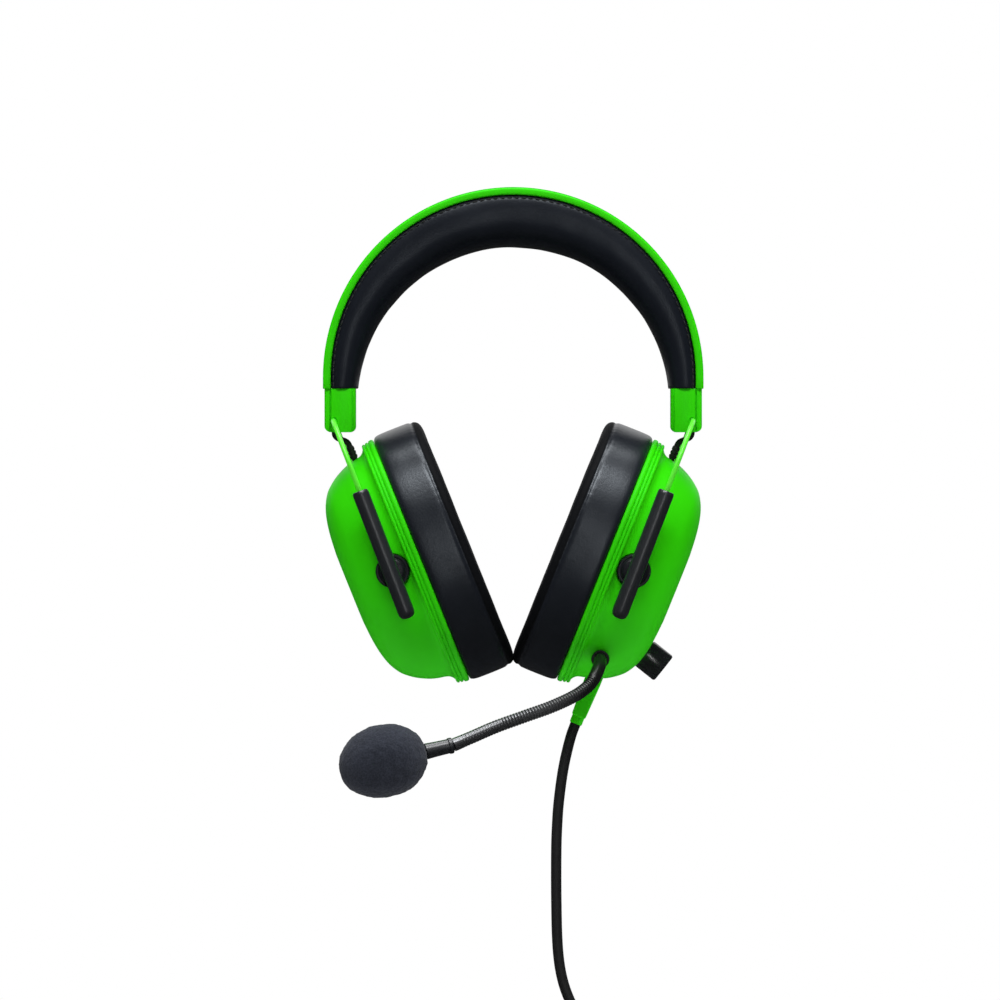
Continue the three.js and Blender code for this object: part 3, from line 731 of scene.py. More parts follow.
plug_place = TAIL_ROUTE[-1]
sleeve = [(0, -0.3), (2.3, -0.3), (2.45, -0.7)]
for rib in range(4):
    top = -1.0 - rib * 1.35
    width = 2.5 + rib * 0.18
    sleeve += [(width, top), (width, top - 0.75), (width - 0.35, top - 0.9), (width - 0.35, top - 1.3)]
sleeve += [(3.2, -6.6), (3.6, -7.4), (3.6, -23.8), (3.2, -25.3), (0, -25.3)]
plug = bevelled(lathe("plug_sleeve", sleeve, 48), 0.15 * MM, 2)
GRIPS = 20
GRIP_RADIUS = 3.72 * MM
grips = []
for i in range(GRIPS):
    angle = i * 2 * math.pi / GRIPS
    bpy.ops.object.select_all(action='DESELECT')
    spot = (GRIP_RADIUS * math.cos(angle), GRIP_RADIUS * math.sin(angle), -15.5 * MM)
    bpy.ops.mesh.primitive_cylinder_add(vertices=10, radius=0.28 * MM, depth=11 * MM, location=spot)
    grips.append(bpy.context.object)
cut(plug, joined("grip_cutters", *grips))
finished(moved(plug, Matrix.Translation(plug_place)), "satin_black", "cup_left", ("plug_body",))

PIN_TOP = -25.8
pin_outline = [
    (0, PIN_TOP), (2.5, PIN_TOP), (2.5, PIN_TOP - 0.9), (1.72, PIN_TOP - 1.0), (1.72, PIN_TOP - 10.2),
    (1.72, PIN_TOP - 11), (1.25, PIN_TOP - 11.9), (1.6, PIN_TOP - 12.7), (1.1, PIN_TOP - 13.6),
    (0, PIN_TOP - 14),
]
pin = bevelled(lathe("plug_contacts", pin_outline, 40), 0.12 * MM, 2)
moved(pin, Matrix.Translation(plug_place))
finished(pin, "gold_plate", "cup_left", ("plug_pin",))
insulators = []
for drop in (4.0, 7.2, 10.4):
    top = PIN_TOP - drop
    band = [(1.65, top), (1.765, top), (1.765, top - 0.6), (1.65, top - 0.6)]
    insulators.append(lathe("plug_insulator", band, 40, True))
insulators = moved(joined("plug_insulators", *insulators), Matrix.Translation(plug_place))
finished(insulators, "satin_black", "cup_left")

# %% [markdown]
# ## Headband cover
#
# The cover is a thin plastic strip, bent over the whole arch, with soft edges and a slightly crowned
# back. Its section is the same everywhere, so it is drawn once and spun through half a turn about
# the arch's centre. Both ends are then extruded straight down to the end caps.

# %% Cover
ARCH_Z = -49.4
COVER_OUTER = 72.0
COVER_INNER = 69.1
BAND_END = -53.4
SEAM_LINE = 0.2
COVER_HALF = 17.0

section = flowing([
    (COVER_INNER, -15.6), (COVER_INNER - 0.05, -16.4), (COVER_INNER + 0.5, -16.95),
    (COVER_OUTER - 0.9, -COVER_HALF), (COVER_OUTER - 0.25, -16.5), (COVER_OUTER, -15), (COVER_OUTER, 0),
    (COVER_OUTER, 15), (COVER_OUTER - 0.25, 16.5), (COVER_OUTER - 0.9, COVER_HALF),
    (COVER_INNER + 0.5, 16.95), (COVER_INNER - 0.05, 16.4), (COVER_INNER, 15.6),
], 4)
section_points = [(r * MM, y * MM, ARCH_Z * MM) for r, y in section]
loop = [(i, (i + 1) % len(section_points)) for i in range(len(section_points))]
cover = mesh_object("cover_strip", section_points, loop)
in_edit(cover)
bpy.ops.mesh.spin(steps=144, angle=math.pi, center=(0, 0, ARCH_Z * MM), axis=(0, 1, 0))
out_of_edit()
COVER_DROP = (0, 0, (BAND_END - SEAM_LINE - ARCH_Z) * MM)
for sign in (1, -1):
    picked(cover, lambda point: abs(point.z - ARCH_Z * MM) < 1e-6 and point.x * sign > 0)
    bpy.ops.mesh.extrude_region_move(TRANSFORM_OT_translate={"value": COVER_DROP})
    bpy.ops.mesh.edge_face_add()
    out_of_edit()
finished(bevelled(cleaned(cover), 0.2 * MM, 2, 50), "green_plastic", "headband", ("headband_cover",))
print("cover:", len(cover.data.polygons), "faces")

# %% [markdown]
# ## Headband pad
#
# The pad is leatherette over foam: thick on the crown, thinner at the temples, flat where the cover
# holds it and round below. A grid is bent round the arch, its outer edge following the cover and its
# inner edge a second circle. A cloth simulation then swells it a little, pinned where it is sewn.

# %% Pad
PAD_OUTER = 69.0
PAD_INNER = 59.0
PAD_END = BAND_END - SEAM_LINE
LEG = ARCH_Z - PAD_END


def outer_line(share):
    """A point of the pad's outer edge, from the left end over the top to the right end."""
    arc = math.pi * PAD_OUTER
    run = share * (arc + 2 * LEG)
    if run < LEG:
        return Vector((PAD_OUTER, 0, PAD_END + run))
    if run > LEG + arc:
        return Vector((-PAD_OUTER, 0, PAD_END + (arc + 2 * LEG - run)))
    angle = (run - LEG) / PAD_OUTER
    return Vector((PAD_OUTER * math.cos(angle), 0, ARCH_Z + PAD_OUTER * math.sin(angle)))


def inner_line(share):
    start = math.asin((PAD_END + PAD_INNER) / PAD_INNER)
    angle = start + share * (math.pi - 2 * start)
    return Vector((PAD_INNER * math.cos(angle), 0, -PAD_INNER + PAD_INNER * math.sin(angle)))


def pad_section(thickness):
    """Half widths and depths of the pad, round from the sewn edge to the head side."""
    half = [(0.15, 0), (0.15, 8), (0.15, 14.5), (0.5, 16.4), (2.0, 17.3), (0.30 * thickness, 17.9),
            (0.58 * thickness, 17.5), (0.80 * thickness, 15.2), (0.94 * thickness, 10.5),
            (thickness, 4), (thickness, 0)]
    other = [(d, -y) for d, y in reversed(half[1:-1])]
    return flowing(half + other, 4, closed=True)


PAD_ROWS = 132
SECTION_POINTS = len(pad_section(10))


def pad_rule(along, around):
    outer, inner = outer_line(along), inner_line(along)
    thickness = (inner - outer).length
    depth, y = pad_section(thickness)[round(around * SECTION_POINTS) % SECTION_POINTS]
    place = outer + (inner - outer) * (depth / thickness)
    return Vector((place.x, y, place.z)) * MM


pad = sheet_of_points("pad_cover", PAD_ROWS, SECTION_POINTS, pad_rule, wrap_columns=True)
for sign in (1, -1):
    picked(pad, lambda point: point.z < (PAD_END + 0.01) * MM and point.x * sign > 0)
    bpy.ops.mesh.edge_face_add()
    out_of_edit()
pad = bevelled(cleaned(pad), 0.35 * MM, 3, 60)
print("pad:", len(pad.data.polygons), "faces")

# %% [markdown]
# ### Swelling soft pieces
#
# Foam pushes its cover out between the seams. The cover is pinned along its seams, given a little
# pressure and run for twenty frames. How far a point may move is capped, so that a swollen piece
# stays in the space its solid holds.

# %% Cloth
CLOTH_FRAMES = 20


def swollen(obj, held, pressure, cap):
    """Blow a closed cover up; held(point) is how firmly a point is pinned, from 0 to 1."""
    before = [vertex.co.copy() for vertex in obj.data.vertices]
    group = obj.vertex_groups.new(name="seams")
    for vertex in obj.data.vertices:
        group.add([vertex.index], held(vertex.co), 'REPLACE')
    only(obj)
    cloth = obj.modifiers.new("cloth", 'CLOTH')
    settings = cloth.settings
    settings.use_pressure = True
    settings.uniform_pressure_force = pressure
    settings.vertex_group_mass = "seams"
    settings.effector_weights.gravity = 0
    settings.quality = 6
    settings.tension_stiffness = settings.compression_stiffness = 12
    settings.bending_stiffness = 0.4
    cloth.collision_settings.use_self_collision = False
    scene = bpy.context.scene
    for frame_number in range(1, CLOTH_FRAMES + 1):
        scene.frame_set(frame_number)
    only(obj)
    bpy.ops.object.modifier_apply(modifier="cloth")
    scene.frame_set(1)
    farthest = 0
    for vertex, start in zip(obj.data.vertices, before):
        step = vertex.co - start
        if step.length > cap:
            vertex.co = start + step.normalized() * cap
        farthest = max(farthest, min(step.length, cap))
    obj.vertex_groups.clear()
    print(obj.name, "swelled by up to", round(farthest / MM, 2), "mm")
    return obj


def pad_held(point):
    away = Vector((point.x, 0, point.z - ARCH_Z * MM)).length
    sewn = away > (PAD_OUTER - 2.2) * MM or point.z < (PAD_END + 2) * MM
    return 1.0 if sewn else 0.0


pad = swollen(pad, pad_held, 0.6, 0.7 * MM)
for vertex in pad.data.vertices:
    point = vertex.co
    away = Vector((point.x, 0, point.z - ARCH_Z * MM)).length / MM
    share = max(0, min(1, (PAD_OUTER - 1.5 - away) / 6)) * max(0, min(1, (point.z / MM - PAD_END) / 6))
    wave = noise.noise(point * 55) * 0.35 + noise.noise(point * 150) * 0.12
    vertex.co += vertex.normal * wave * share * MM
finished(pad, "pad_leatherette", "headband", ("headband_pad",), 50)

# %% [markdown]
# ### Stitches
#
# The pad's cover is sewn along the cover strip, front and rear. Each stitch is a short thread that
# dips at both ends. One is modelled and copied along the arch, every copy turned to the line.

# %% Stitches
STITCH = 2.6
STITCH_COUNT = round((math.pi * PAD_OUTER + 2 * LEG - 6) / STITCH)
SEWN_AT = 17.05

stitch_ends = [(-1, -0.2), (-0.5, 0.12), (0, 0.2), (0.5, 0.12), (1, -0.2)]
stitch_path = [Vector((s * STITCH * 0.36, lift, 0)) * MM for s, lift in stitch_ends]
stitch = swept("stitch", stitch_path, 0.24 * MM, 8)


def sewn_row(name, y):
    rows = []
    for i in range(STITCH_COUNT):
        share = (i + 0.5) / STITCH_COUNT
        here = outer_line(share)
        inwards = (inner_line(share) - here).normalized()
        ahead = (outer_line(min(1, share + 0.002)) - outer_line(max(0, share - 0.002))).normalized()
        up = Vector((0, math.copysign(1, y), 0))
        turn = Matrix((ahead, up, ahead.cross(up))).transposed().to_4x4()
        place = Matrix.Translation((here + inwards + Vector((0, y, 0))) * MM) @ turn
        twin = bpy.data.objects.new(f"{name}_{i}", stitch.data.copy())
        bpy.context.scene.collection.objects.link(twin)
        twin.data.transform(place)
        rows.append(twin)
    return joined(name, *rows)


stitches = joined("pad_stitches", sewn_row("front_row", -SEWN_AT), sewn_row("rear_row", SEWN_AT))
bpy.data.objects.remove(stitch)
finished(stitches, "stitch_thread", "headband", angle=60)
print("stitches:", 2 * STITCH_COUNT)

# %% [markdown]
# ## End caps
#
# Each cap closes one end of the band. Seen from the front it has a gently crowned face between a
# narrow outer strip and an inner chamfer, an arched top edge and round lower corners. The plan is
# extruded upwards, and the front outline is then cut from it with an intersecting block.

# %% End caps
CAP_OUT, CAP_IN, CAP_TOP, CAP_BOTTOM = 71.4, 59.6, -53.64, -70.1


def cap_plan():
    front = [(CAP_OUT, -15.2), (CAP_OUT - 0.5, -16.0), (CAP_OUT - 1.9, -16.3), (CAP_OUT - 2.05, -15.1),
             (CAP_OUT - 2.45, -15.1)]
    face_from, face_to = CAP_OUT - 2.6, CAP_IN + 1.45
    for i in range(9):
        share = i / 8
        bulge = 0.6 * math.sin(math.pi * share)
        front.append((face_from + (face_to - face_from) * share, -16.4 - bulge))
    front += [(CAP_IN + 1.3, -15.5), (CAP_IN + 1.0, -15.5), (CAP_IN + 0.9, -16.1), (CAP_IN, -15.0)]
    return front + [(x, -y) for x, y in reversed(front)]


def extruded(name, outline, axis_point, height):
    """Fill an outline and extrude it; axis_point turns an outline point into a place in mm."""
    count = len(outline)
    obj = mesh_object(name, mm([axis_point(*p) for p in outline]), [], [tuple(range(count))])
    in_edit(obj)
    bpy.ops.mesh.extrude_region_move(TRANSFORM_OT_translate={"value": Vector(height) * MM})
    out_of_edit()
    return cleaned(obj)


def round_corner(centre, radius, start, end, steps=7):
    angles = [math.radians(start + (end - start) * i / steps) for i in range(steps + 1)]
    return [(centre[0] + radius * math.cos(a), centre[1] + radius * math.sin(a)) for a in angles]


def cap_front():
    corner = 2.3
    outline = round_corner((CAP_IN + corner, CAP_BOTTOM + corner), corner, 180, 270)
    outline += round_corner((CAP_OUT - corner, CAP_BOTTOM + corner), corner, 270, 360)
    outline += [(CAP_OUT, CAP_TOP), (CAP_IN, CAP_TOP)]
    return outline


WIRE_HOLE = WIRES["left"] @ Vector((WIRE_OFFSET * MM, 0, WIRE_CROSSING * MM))
cap = extruded("cap_block", cap_plan(), lambda x, y: (x, y, CAP_BOTTOM - 1), (0, 0, 19))
front_block = extruded("cap_front", cap_front(), lambda x, z: (x, -19, z), (0, 38, 0))
cut(cap, front_block, operation='INTERSECT')
cap = bevelled(cap, 0.35 * MM, 3, 40)
wire_bore = moved(lathe("wire_bore", [(0, -30), (1.0, -30), (1.0, 30), (0, 30)], 32),
                  aimed((0, 1, 0), WIRE_HOLE))
dish = [moved(lathe("hole_dish", [(0, -1), (2.1, -1), (1.5, 0.5), (0, 0.5)], 32),
              aimed((0, -sign, 0), Vector((WIRE_HOLE.x, sign * 16.95 * MM, WIRE_HOLE.z)))) for sign in (-1, 1)]
screw_spot = Vector((CAP_IN * MM, 0, -58.6 * MM))
screw_pit = moved(lathe("screw_pit", [(0, -3), (2.7, -3), (2.7, 1.7), (0, 1.7)], 32),
                  aimed((1, 0, 0), screw_spot))
cable_bore = moved(lathe("cable_bore", [(0, -3), (1.6, -3), (1.6, 3), (0, 3)], 24),
                   Matrix.Translation((67.7 * MM, 0, CAP_BOTTOM * MM)))
cut(cap, wire_bore, *dish, screw_pit, cable_bore)
for hand in HANDS:
    piece = copied(cap, f"cap_body_{hand}", SIDE[hand])
    finished(piece, "green_plastic", "headband", (f"end_cap_{hand}",))
bpy.data.objects.remove(cap)


# %% [markdown]
# ### Cap screws
#
# A cross-head screw on the inner side of each cap clamps the band's spring. The head is spun, and a
# cross is cut into it.

# %% Screws
def crossed(name, outline, cross_depth, arm):
    """A spun screw whose head starts at height 0, with a cross cut into it."""
    screw = bevelled(lathe(name, outline, 32), 0.12 * MM, 2)
    head = min(h for _, h in outline)
    for turn in (0, 90):
        bar = block("cross_bar", (arm, 0.5, 2 * cross_depth), (0, 0, head))
        cut(screw, moved(bar, Matrix.Rotation(math.radians(turn), 4, 'Z')))
    return screw


CAP_SCREW = [(0, 0), (1.6, 0), (2.3, 0.5), (2.3, 1.3), (1.15, 1.3), (1.15, 6.9), (0, 6.9)]
cap_screw = crossed("cap_screw", CAP_SCREW, 0.6, 2.4)
for hand in HANDS:
    place = SIDE[hand] @ aimed((1, 0, 0), screw_spot + Vector((0.1 * MM, 0, 0)))
    piece = copied(cap_screw, f"cap_screw_head_{hand}", place)
    finished(piece, "plain_steel", "headband", (f"cap_screw_{hand}",))
bpy.data.objects.remove(cap_screw)

# %% [markdown]
# ## Yoke wires
#
# One steel wire per side runs through the end cap, bends forward and back round two shoulders, and
# goes down into the slider tubes. It is a true bent rod: straight legs, round shoulders, straight
# crossing, with a soft paint skin.

# %% Wires
def wire_path():
    half = [(WIRE_OFFSET, WIRE_SPREAD, z) for z in (-10.5, 0, 12, 24, 33)]
    for i in range(25):
        angle = math.radians(90 * i / 24)
        half.append((WIRE_OFFSET, WIRE_SPREAD - WIRE_BEND * (1 - math.cos(angle)),
                     WIRE_CROSSING - WIRE_BEND * (1 - math.sin(angle))))
    half.append((WIRE_OFFSET, 8, WIRE_CROSSING))
    return mm(half) + [Vector((p[0], -p[1], p[2])) * MM for p in reversed(half)]


wire = swept("yoke_wire", wire_path(), WIRE_RADIUS * MM, 16)
for hand in HANDS:
    finished(copied(wire, f"wire_{hand}", WIRES[hand]), "green_paint", "headband", (f"yoke_wire_{hand}",), 60)
bpy.data.objects.remove(wire)

# %% [markdown]
# ## Slider tubes, bushes and pivots
#
# A tube hangs on each wire leg. It is turned from outline to outline: round foot, straight wall, a
# soft lip round the bore. The pivot under it is a disc with a fine step round its rim, which sits in
# a seat in the cup and lets the cup tilt.

# %% Tubes and pivots
TUBE_OUTLINE = [
    (0, -18.75), (1.2, -18.68), (2.1, -18.3), (2.75, -17.6), (3.08, -16.7), (3.15, -15.9), (3.15, 31.3),
    (3.05, 32.1), (2.75, 32.6), (2.4, 32.7), (2.25, 32.4), (2.2, 31.5), (2.2, -14), (0, -14),
]
tube = lathe("tube", TUBE_OUTLINE, 64)
bush = bevelled(lathe("bush", [(1.3, 25), (2.0, 25), (2.0, 32.3), (1.3, 32.3)], 40, True), 0.2 * MM, 2)
PIVOT_OUTLINE = [
    (0, 30.2), (3.2, 30.2), (3.2, 31.4), (2.0, 31.4), (2.0, 35.25), (6.3, 35.25), (6.35, 35.4), (6.35, 37.9),
    (6.0, 38.25), (5.3, 38.25), (5.2, 38.1), (4.95, 38.1), (4.85, 38.45), (4.4, 38.9), (3.8, 39.1), (0, 39.1),
]
disc = bevelled(lathe("disc", PIVOT_OUTLINE, 64), 0.1 * MM, 2, 50)
for hand in HANDS:
    for place, sign in (("front", -1), ("rear", 1)):
        spot = Matrix.Translation((WIRE_OFFSET * MM, sign * WIRE_SPREAD * MM, 0))
        body, tail = f"slider_{hand}", f"{hand}_{place}"
        piece = copied(tube, f"tube_{tail}", WIRES[hand] @ spot)
        finished(piece, "tube_black", body, (f"slider_tube_{tail}",))
        piece = copied(bush, f"bush_{tail}", WIRES[hand] @ spot)
        finished(piece, "satin_black", body, (f"slider_bush_{tail}",))
        turned = Matrix.Rotation(-sign * math.pi / 2, 4, 'X')
        piece = copied(disc, f"disc_{tail}", WIRES[hand] @ turned)
        finished(piece, "satin_black", body, (f"pivot_pin_{tail}",))
for spare in (tube, bush, disc):
    bpy.data.objects.remove(spare)

# %% [markdown]
# ## Cup shells
#
# A shell is a deep oval dish. Its outline falls away from a nearly flat outer face, rounds the
# shoulder and flares out again into the rim with a concave fillet. It is spun with its inside wall
# and squeezed oval. The pivot seats and the openings for knob, boom, cable and link are then cut.

# %% Shells
SHELL_OUTER = flowing([
    (46.9, -6.6), (46.0, -6.0), (45.1, -4.9), (44.55, -3.2), (44.1, -0.8), (43.3, 1.9), (42.2, 4.4),
    (40.9, 6.8), (39.2, 9.2), (37.0, 11.6), (34.2, 13.5), (30.9, 15.0), (26.5, 16.2), (21, 17.05),
    (14, 17.6),
], 5)
SHELL_INNER = flowing([
    (14, 15.6), (21.5, 14.9), (27.6, 13.8), (31, 12.6), (34.9, 10.3), (37.4, 8), (40.2, 3.5), (41.8, 0.2),
    (42.5, -3.2),
], 3)
shell_outline = SHELL_OUTER + [(0, 17.6), (0, 15.6)] + SHELL_INNER + [(44.9, -4.6), (44.9, -6.6)]
KNOB_LEAN = math.radians(16.5)
KNOB_LENGTH = 13.0
knob_direction = Vector((math.cos(KNOB_LEAN), 0, -math.sin(KNOB_LEAN)))
knob_base = Vector((24.6, 12, -30.1)) * MM - knob_direction * KNOB_LENGTH * MM
BOOM_START = Vector((32.9, 0, -156)) * MM
RELIEF_OUT = 1.3


def drilled(radius, start, end, matrix, steps=48):
    return moved(lathe("drill", [(0, start), (radius, start), (radius, end), (0, end)], steps), matrix)


def pivot_seats():
    """Seat and bore for the pivot discs, front and rear."""
    tools = []
    for sign in (1, -1):
        turned = Matrix.Rotation(-sign * math.pi / 2, 4, 'X')
        outline = [(0, 34.9), (6.6, 34.9), (6.6, 35.4), (6.85, 36.2), (6.85, 45), (0, 45)]
        tools.append(moved(lathe("seat", outline, 64), turned))
        tools.append(drilled(2.3, 26, 40, turned))
    return tools


def pivot_bosses():
    """Thick patches behind the seats, so that the seats have a floor."""
    tools = []
    for sign in (1, -1):
        turned = Matrix.Rotation(-sign * math.pi / 2, 4, 'X')
        tools.append(drilled(8, 31.9, 36.9, turned, 64))
    return tools


def shell_openings():
    """The holes that only the left shell has: knob, cable and boom."""
    knob_hole = drilled(6.3, 0, 30, aimed(knob_direction, knob_base), 64)
    gland_hole = block("gland_hole", (7.0, 8.2, 17), (RELIEF_OUT, 0, -46.5))
    boom_in_cup = CUP["left"].inverted() @ aimed((0, -1, 0), BOOM_START)
    boom_hole = drilled(3.45, 8, 40, boom_in_cup)
    return [knob_hole, gland_hole, boom_hole]


shell = cup_oval("shell", shell_outline, True)
outer_solid = cup_oval("outer", SHELL_OUTER + [(0, 17.6), (0, -6.6)], True)
boss_pair = cut(outer_solid, joined("boss_pair", *pivot_bosses()), operation='INTERSECT')
cut(shell, boss_pair, operation='UNION')
cut(shell, *pivot_seats())
cut(shell, drilled(1.4, 30, 60, Matrix.Translation((-2.5 * MM, 0, 0)), 32))
print("shell:", len(shell.data.polygons), "faces")
for hand in HANDS:
    piece = copied(shell, f"shell_{hand}", Matrix.Identity(4))
    if hand == "left":
        cut(piece, *shell_openings())
    moved(piece, CUP[hand])
    finished(piece, "green_plastic", f"cup_{hand}", (f"cup_shell_{hand}",), 32)
bpy.data.objects.remove(shell)

# %% [markdown]
# ## Trim rings
#
# The ring between shell and cushion is the same green plastic. Its edge has three soft bands with
# two fine grooves between them. The bands step outwards to the cushion, and each one catches a thin
# line of light of its own.

# %% Rings
ring_edge = [
    (42.0, -6.64), (47.7, -6.64), (48.25, -6.8), (48.5, -7.15), (48.6, -7.6), (48.45, -7.8),
    (48.2, -7.9), (48.2, -8.05), (48.5, -8.15), (48.8, -8.4), (48.85, -9.0), (48.7, -9.2),
    (48.45, -9.3), (48.45, -9.45), (48.8, -9.55), (49.1, -9.8), (49.25, -10.4), (49.2, -11.0),
    (48.95, -11.4), (48.4, -11.62), (42.0, -11.62),
]
ring = cup_oval("ring", ring_edge, True)
for hand in HANDS:
    piece = copied(ring, f"ring_{hand}", CUP[hand])
    finished(piece, "green_plastic", f"cup_{hand}", (f"trim_ring_{hand}",), 55)
bpy.data.objects.remove(ring)

# %% [markdown]
# ## Ear cushions
#
# A cushion is a leatherette sleeve over memory foam. A seam runs round it just behind the face, and
# another where the sleeve tucks under the ring. The side band is almost straight with a soft upper
# edge, the face is lightly crowned and the inner wall falls away. The foam swells all of them
# between the seams, and the sewing puckers the cover a little along its line. When a cup slides
# down, its cushion would meet the other one.

# %% Cushion shape
FACE = -30.7
FACE_SEAM = (49.6, -27.2)
BACK_SEAM = (48.6, -11.9)
sleeve_line = flowing([
    (34.5, -11.75), (41, -11.72), (46.5, -11.7), BACK_SEAM, (49.55, -13.2), (49.8, -16), (49.8, -20.5),
    (49.75, -25), FACE_SEAM, (49.15, -28.6), (48.4, -29.7), (46.9, -30.4), (44.5, FACE), (41, FACE),
    (37.4, -30.55), (34.9, -29.7), (33.2, -27.6), (32.3, -24), (32.1, -19.5), (32.5, -14.5),
], 3, closed=True)


def cushion_rule(around, along):
    radius, depth = sleeve_line[round(along * len(sleeve_line)) % len(sleeve_line)]
    width, height = oval_point(radius, 2 * math.pi * around)
    return Vector((depth, width, height)) * MM


ROWS_ROUND = 200
cushion = sheet_of_points("cushion", ROWS_ROUND, len(sleeve_line), cushion_rule, True, True)


def oval_radius(point):
    """The radius of the oval through a point, in millimetres: the inverse of oval_point."""
    across = abs(point.y / OVAL_RATIO) ** OVAL_POWER + abs(point.z) ** OVAL_POWER
    return across ** (1 / OVAL_POWER) / MM


def seam_distance(point, seam):
    return math.hypot(oval_radius(point) - seam[0], point.x / MM - seam[1])


def cushion_held(point):
    near = min(seam_distance(point, FACE_SEAM), seam_distance(point, BACK_SEAM))
    return 1.0 if near < 0.9 or point.x > -12.2 * MM else 0.0


cushion = swollen(cushion, cushion_held, 1.0, 0.45 * MM)

# %% Seams, puckers and folds
SEAM_GROOVE = 0.55
FACE_SEAM_WIDTH, BACK_SEAM_WIDTH = 0.55, 0.6
PUCKERS, PUCKER_DEPTH = 88, 0.11
FOLDS, FOLD_DEPTH, FOLDS_MIDDLE = 34, 0.5, -22
# The number marks the face and inner wall for the darker second cover, which is painted shade.
painted_shade_panel = cushion.data.attributes.new("painted_shade_face", 'FLOAT', 'POINT')
for vertex in cushion.data.vertices:
    point = vertex.co
    angle = math.atan2(point.z, point.y / OVAL_RATIO)
    radius = oval_radius(point)
    outside = 1 if radius > 40 else 0
    near_face = seam_distance(point, FACE_SEAM)
    near_back = seam_distance(point, BACK_SEAM)
    groove = math.exp(-(near_face / FACE_SEAM_WIDTH) ** 2) + 0.7 * math.exp(-(near_back / BACK_SEAM_WIDTH) ** 2)
    pucker = math.sin(angle * PUCKERS + 2.2 * noise.noise(point * 70)) * math.exp(-near_face / 1.8)
    inner_folds = 0
    if radius < 36:
        wave = max(0, math.sin(angle * FOLDS + 3 * noise.noise(point * 60)))
        inner_folds = FOLD_DEPTH * wave * math.exp(-((point.x / MM - FOLDS_MIDDLE) / 6) ** 2)
    slack = noise.noise(point * 48) * 0.32 + noise.noise(point * 120) * 0.1
    still = 1 if point.x < -12.4 * MM else 0
    past_seam = max(0, min(1, (FACE_SEAM[1] - point.x / MM) / 0.6))
    painted_shade_panel.data[vertex.index].value = past_seam if radius > 35 else 1
    swell = PUCKER_DEPTH * pucker - SEAM_GROOVE * groove + slack * 0.8 * outside - inner_folds
    vertex.co += vertex.normal * MM * still * swell
cushion = applied(cushion, 'SUBSURF', levels=1, render_levels=1)
print("cushion:", len(cushion.data.polygons), "faces")
for hand in HANDS:
    piece = copied(cushion, f"cushion_{hand}", CUP[hand])
    finished(piece, "leatherette", f"cup_{hand}", (f"ear_cushion_{hand}",), 60)
    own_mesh(piece)
bpy.data.objects.remove(cushion)

# %% [markdown]
# ## Inside the cups
#
# Through the ear opening one sees knitted cloth stretched over the driver. A faint dome and the
# raised ring of the driver's edge show through it. Behind the cloth the frame's own baffle, driver,
# screws and board keep their shapes and only get a finish.

# %% Ear cloth and hidden pieces
cloth_line = [(0, -10.3), (6, -10.28), (13, -10.1), (20, -9.75), (23.5, -9.6), (25, -9.75), (26.5, -9.55),
              (32, -9.4), (38, -9.35), (41.6, -9.35), (41.6, -8.8), (0, -8.8)]
cloth = cup_oval("cloth", cloth_line)
for hand in HANDS:
    piece = copied(cloth, f"cloth_{hand}", CUP[hand])
    finished(piece, "knitted_cloth", f"cup_{hand}", (f"ear_cloth_{hand}",), 40)
bpy.data.objects.remove(cloth)

BAFFLE_SCREW = [(0, -8.4), (1.5, -8.4), (2.2, -7.9), (2.3, -6.9), (1.1, -6.9), (1.1, 4), (0, 4)]
baffle_screw = crossed("baffle_screw", BAFFLE_SCREW, 0.5, 2.0)
for hand in HANDS:
    for number, degrees in enumerate((90, 210, 330), 1):
        y, z = oval_point(34, math.radians(degrees))
        spot = CUP[hand] @ aimed((1, 0, 0), Vector((0, y, z)) * MM)
        piece = copied(baffle_screw, f"screw_{hand}_{number}", spot)
        finished(piece, "plain_steel", f"cup_{hand}", (f"baffle_screw_{hand}_{number}",))
bpy.data.objects.remove(baffle_screw)


def dressed(node, finish):
    """Keep a frame node's own shape and give it a finish."""
    mesh = bpy.data.objects[node].data
    mesh.materials.clear()
    mesh.materials.append(FINISH[finish])


dressed("headband_spring", "plain_steel")
dressed("volume_potentiometer", "plain_steel")
dressed("circuit_board", "solder_mask")
dressed("mic_capsule", "satin_black")
for hand in HANDS:
    dressed(f"baffle_{hand}", "satin_black")
    dressed(f"driver_{hand}", "plain_steel")
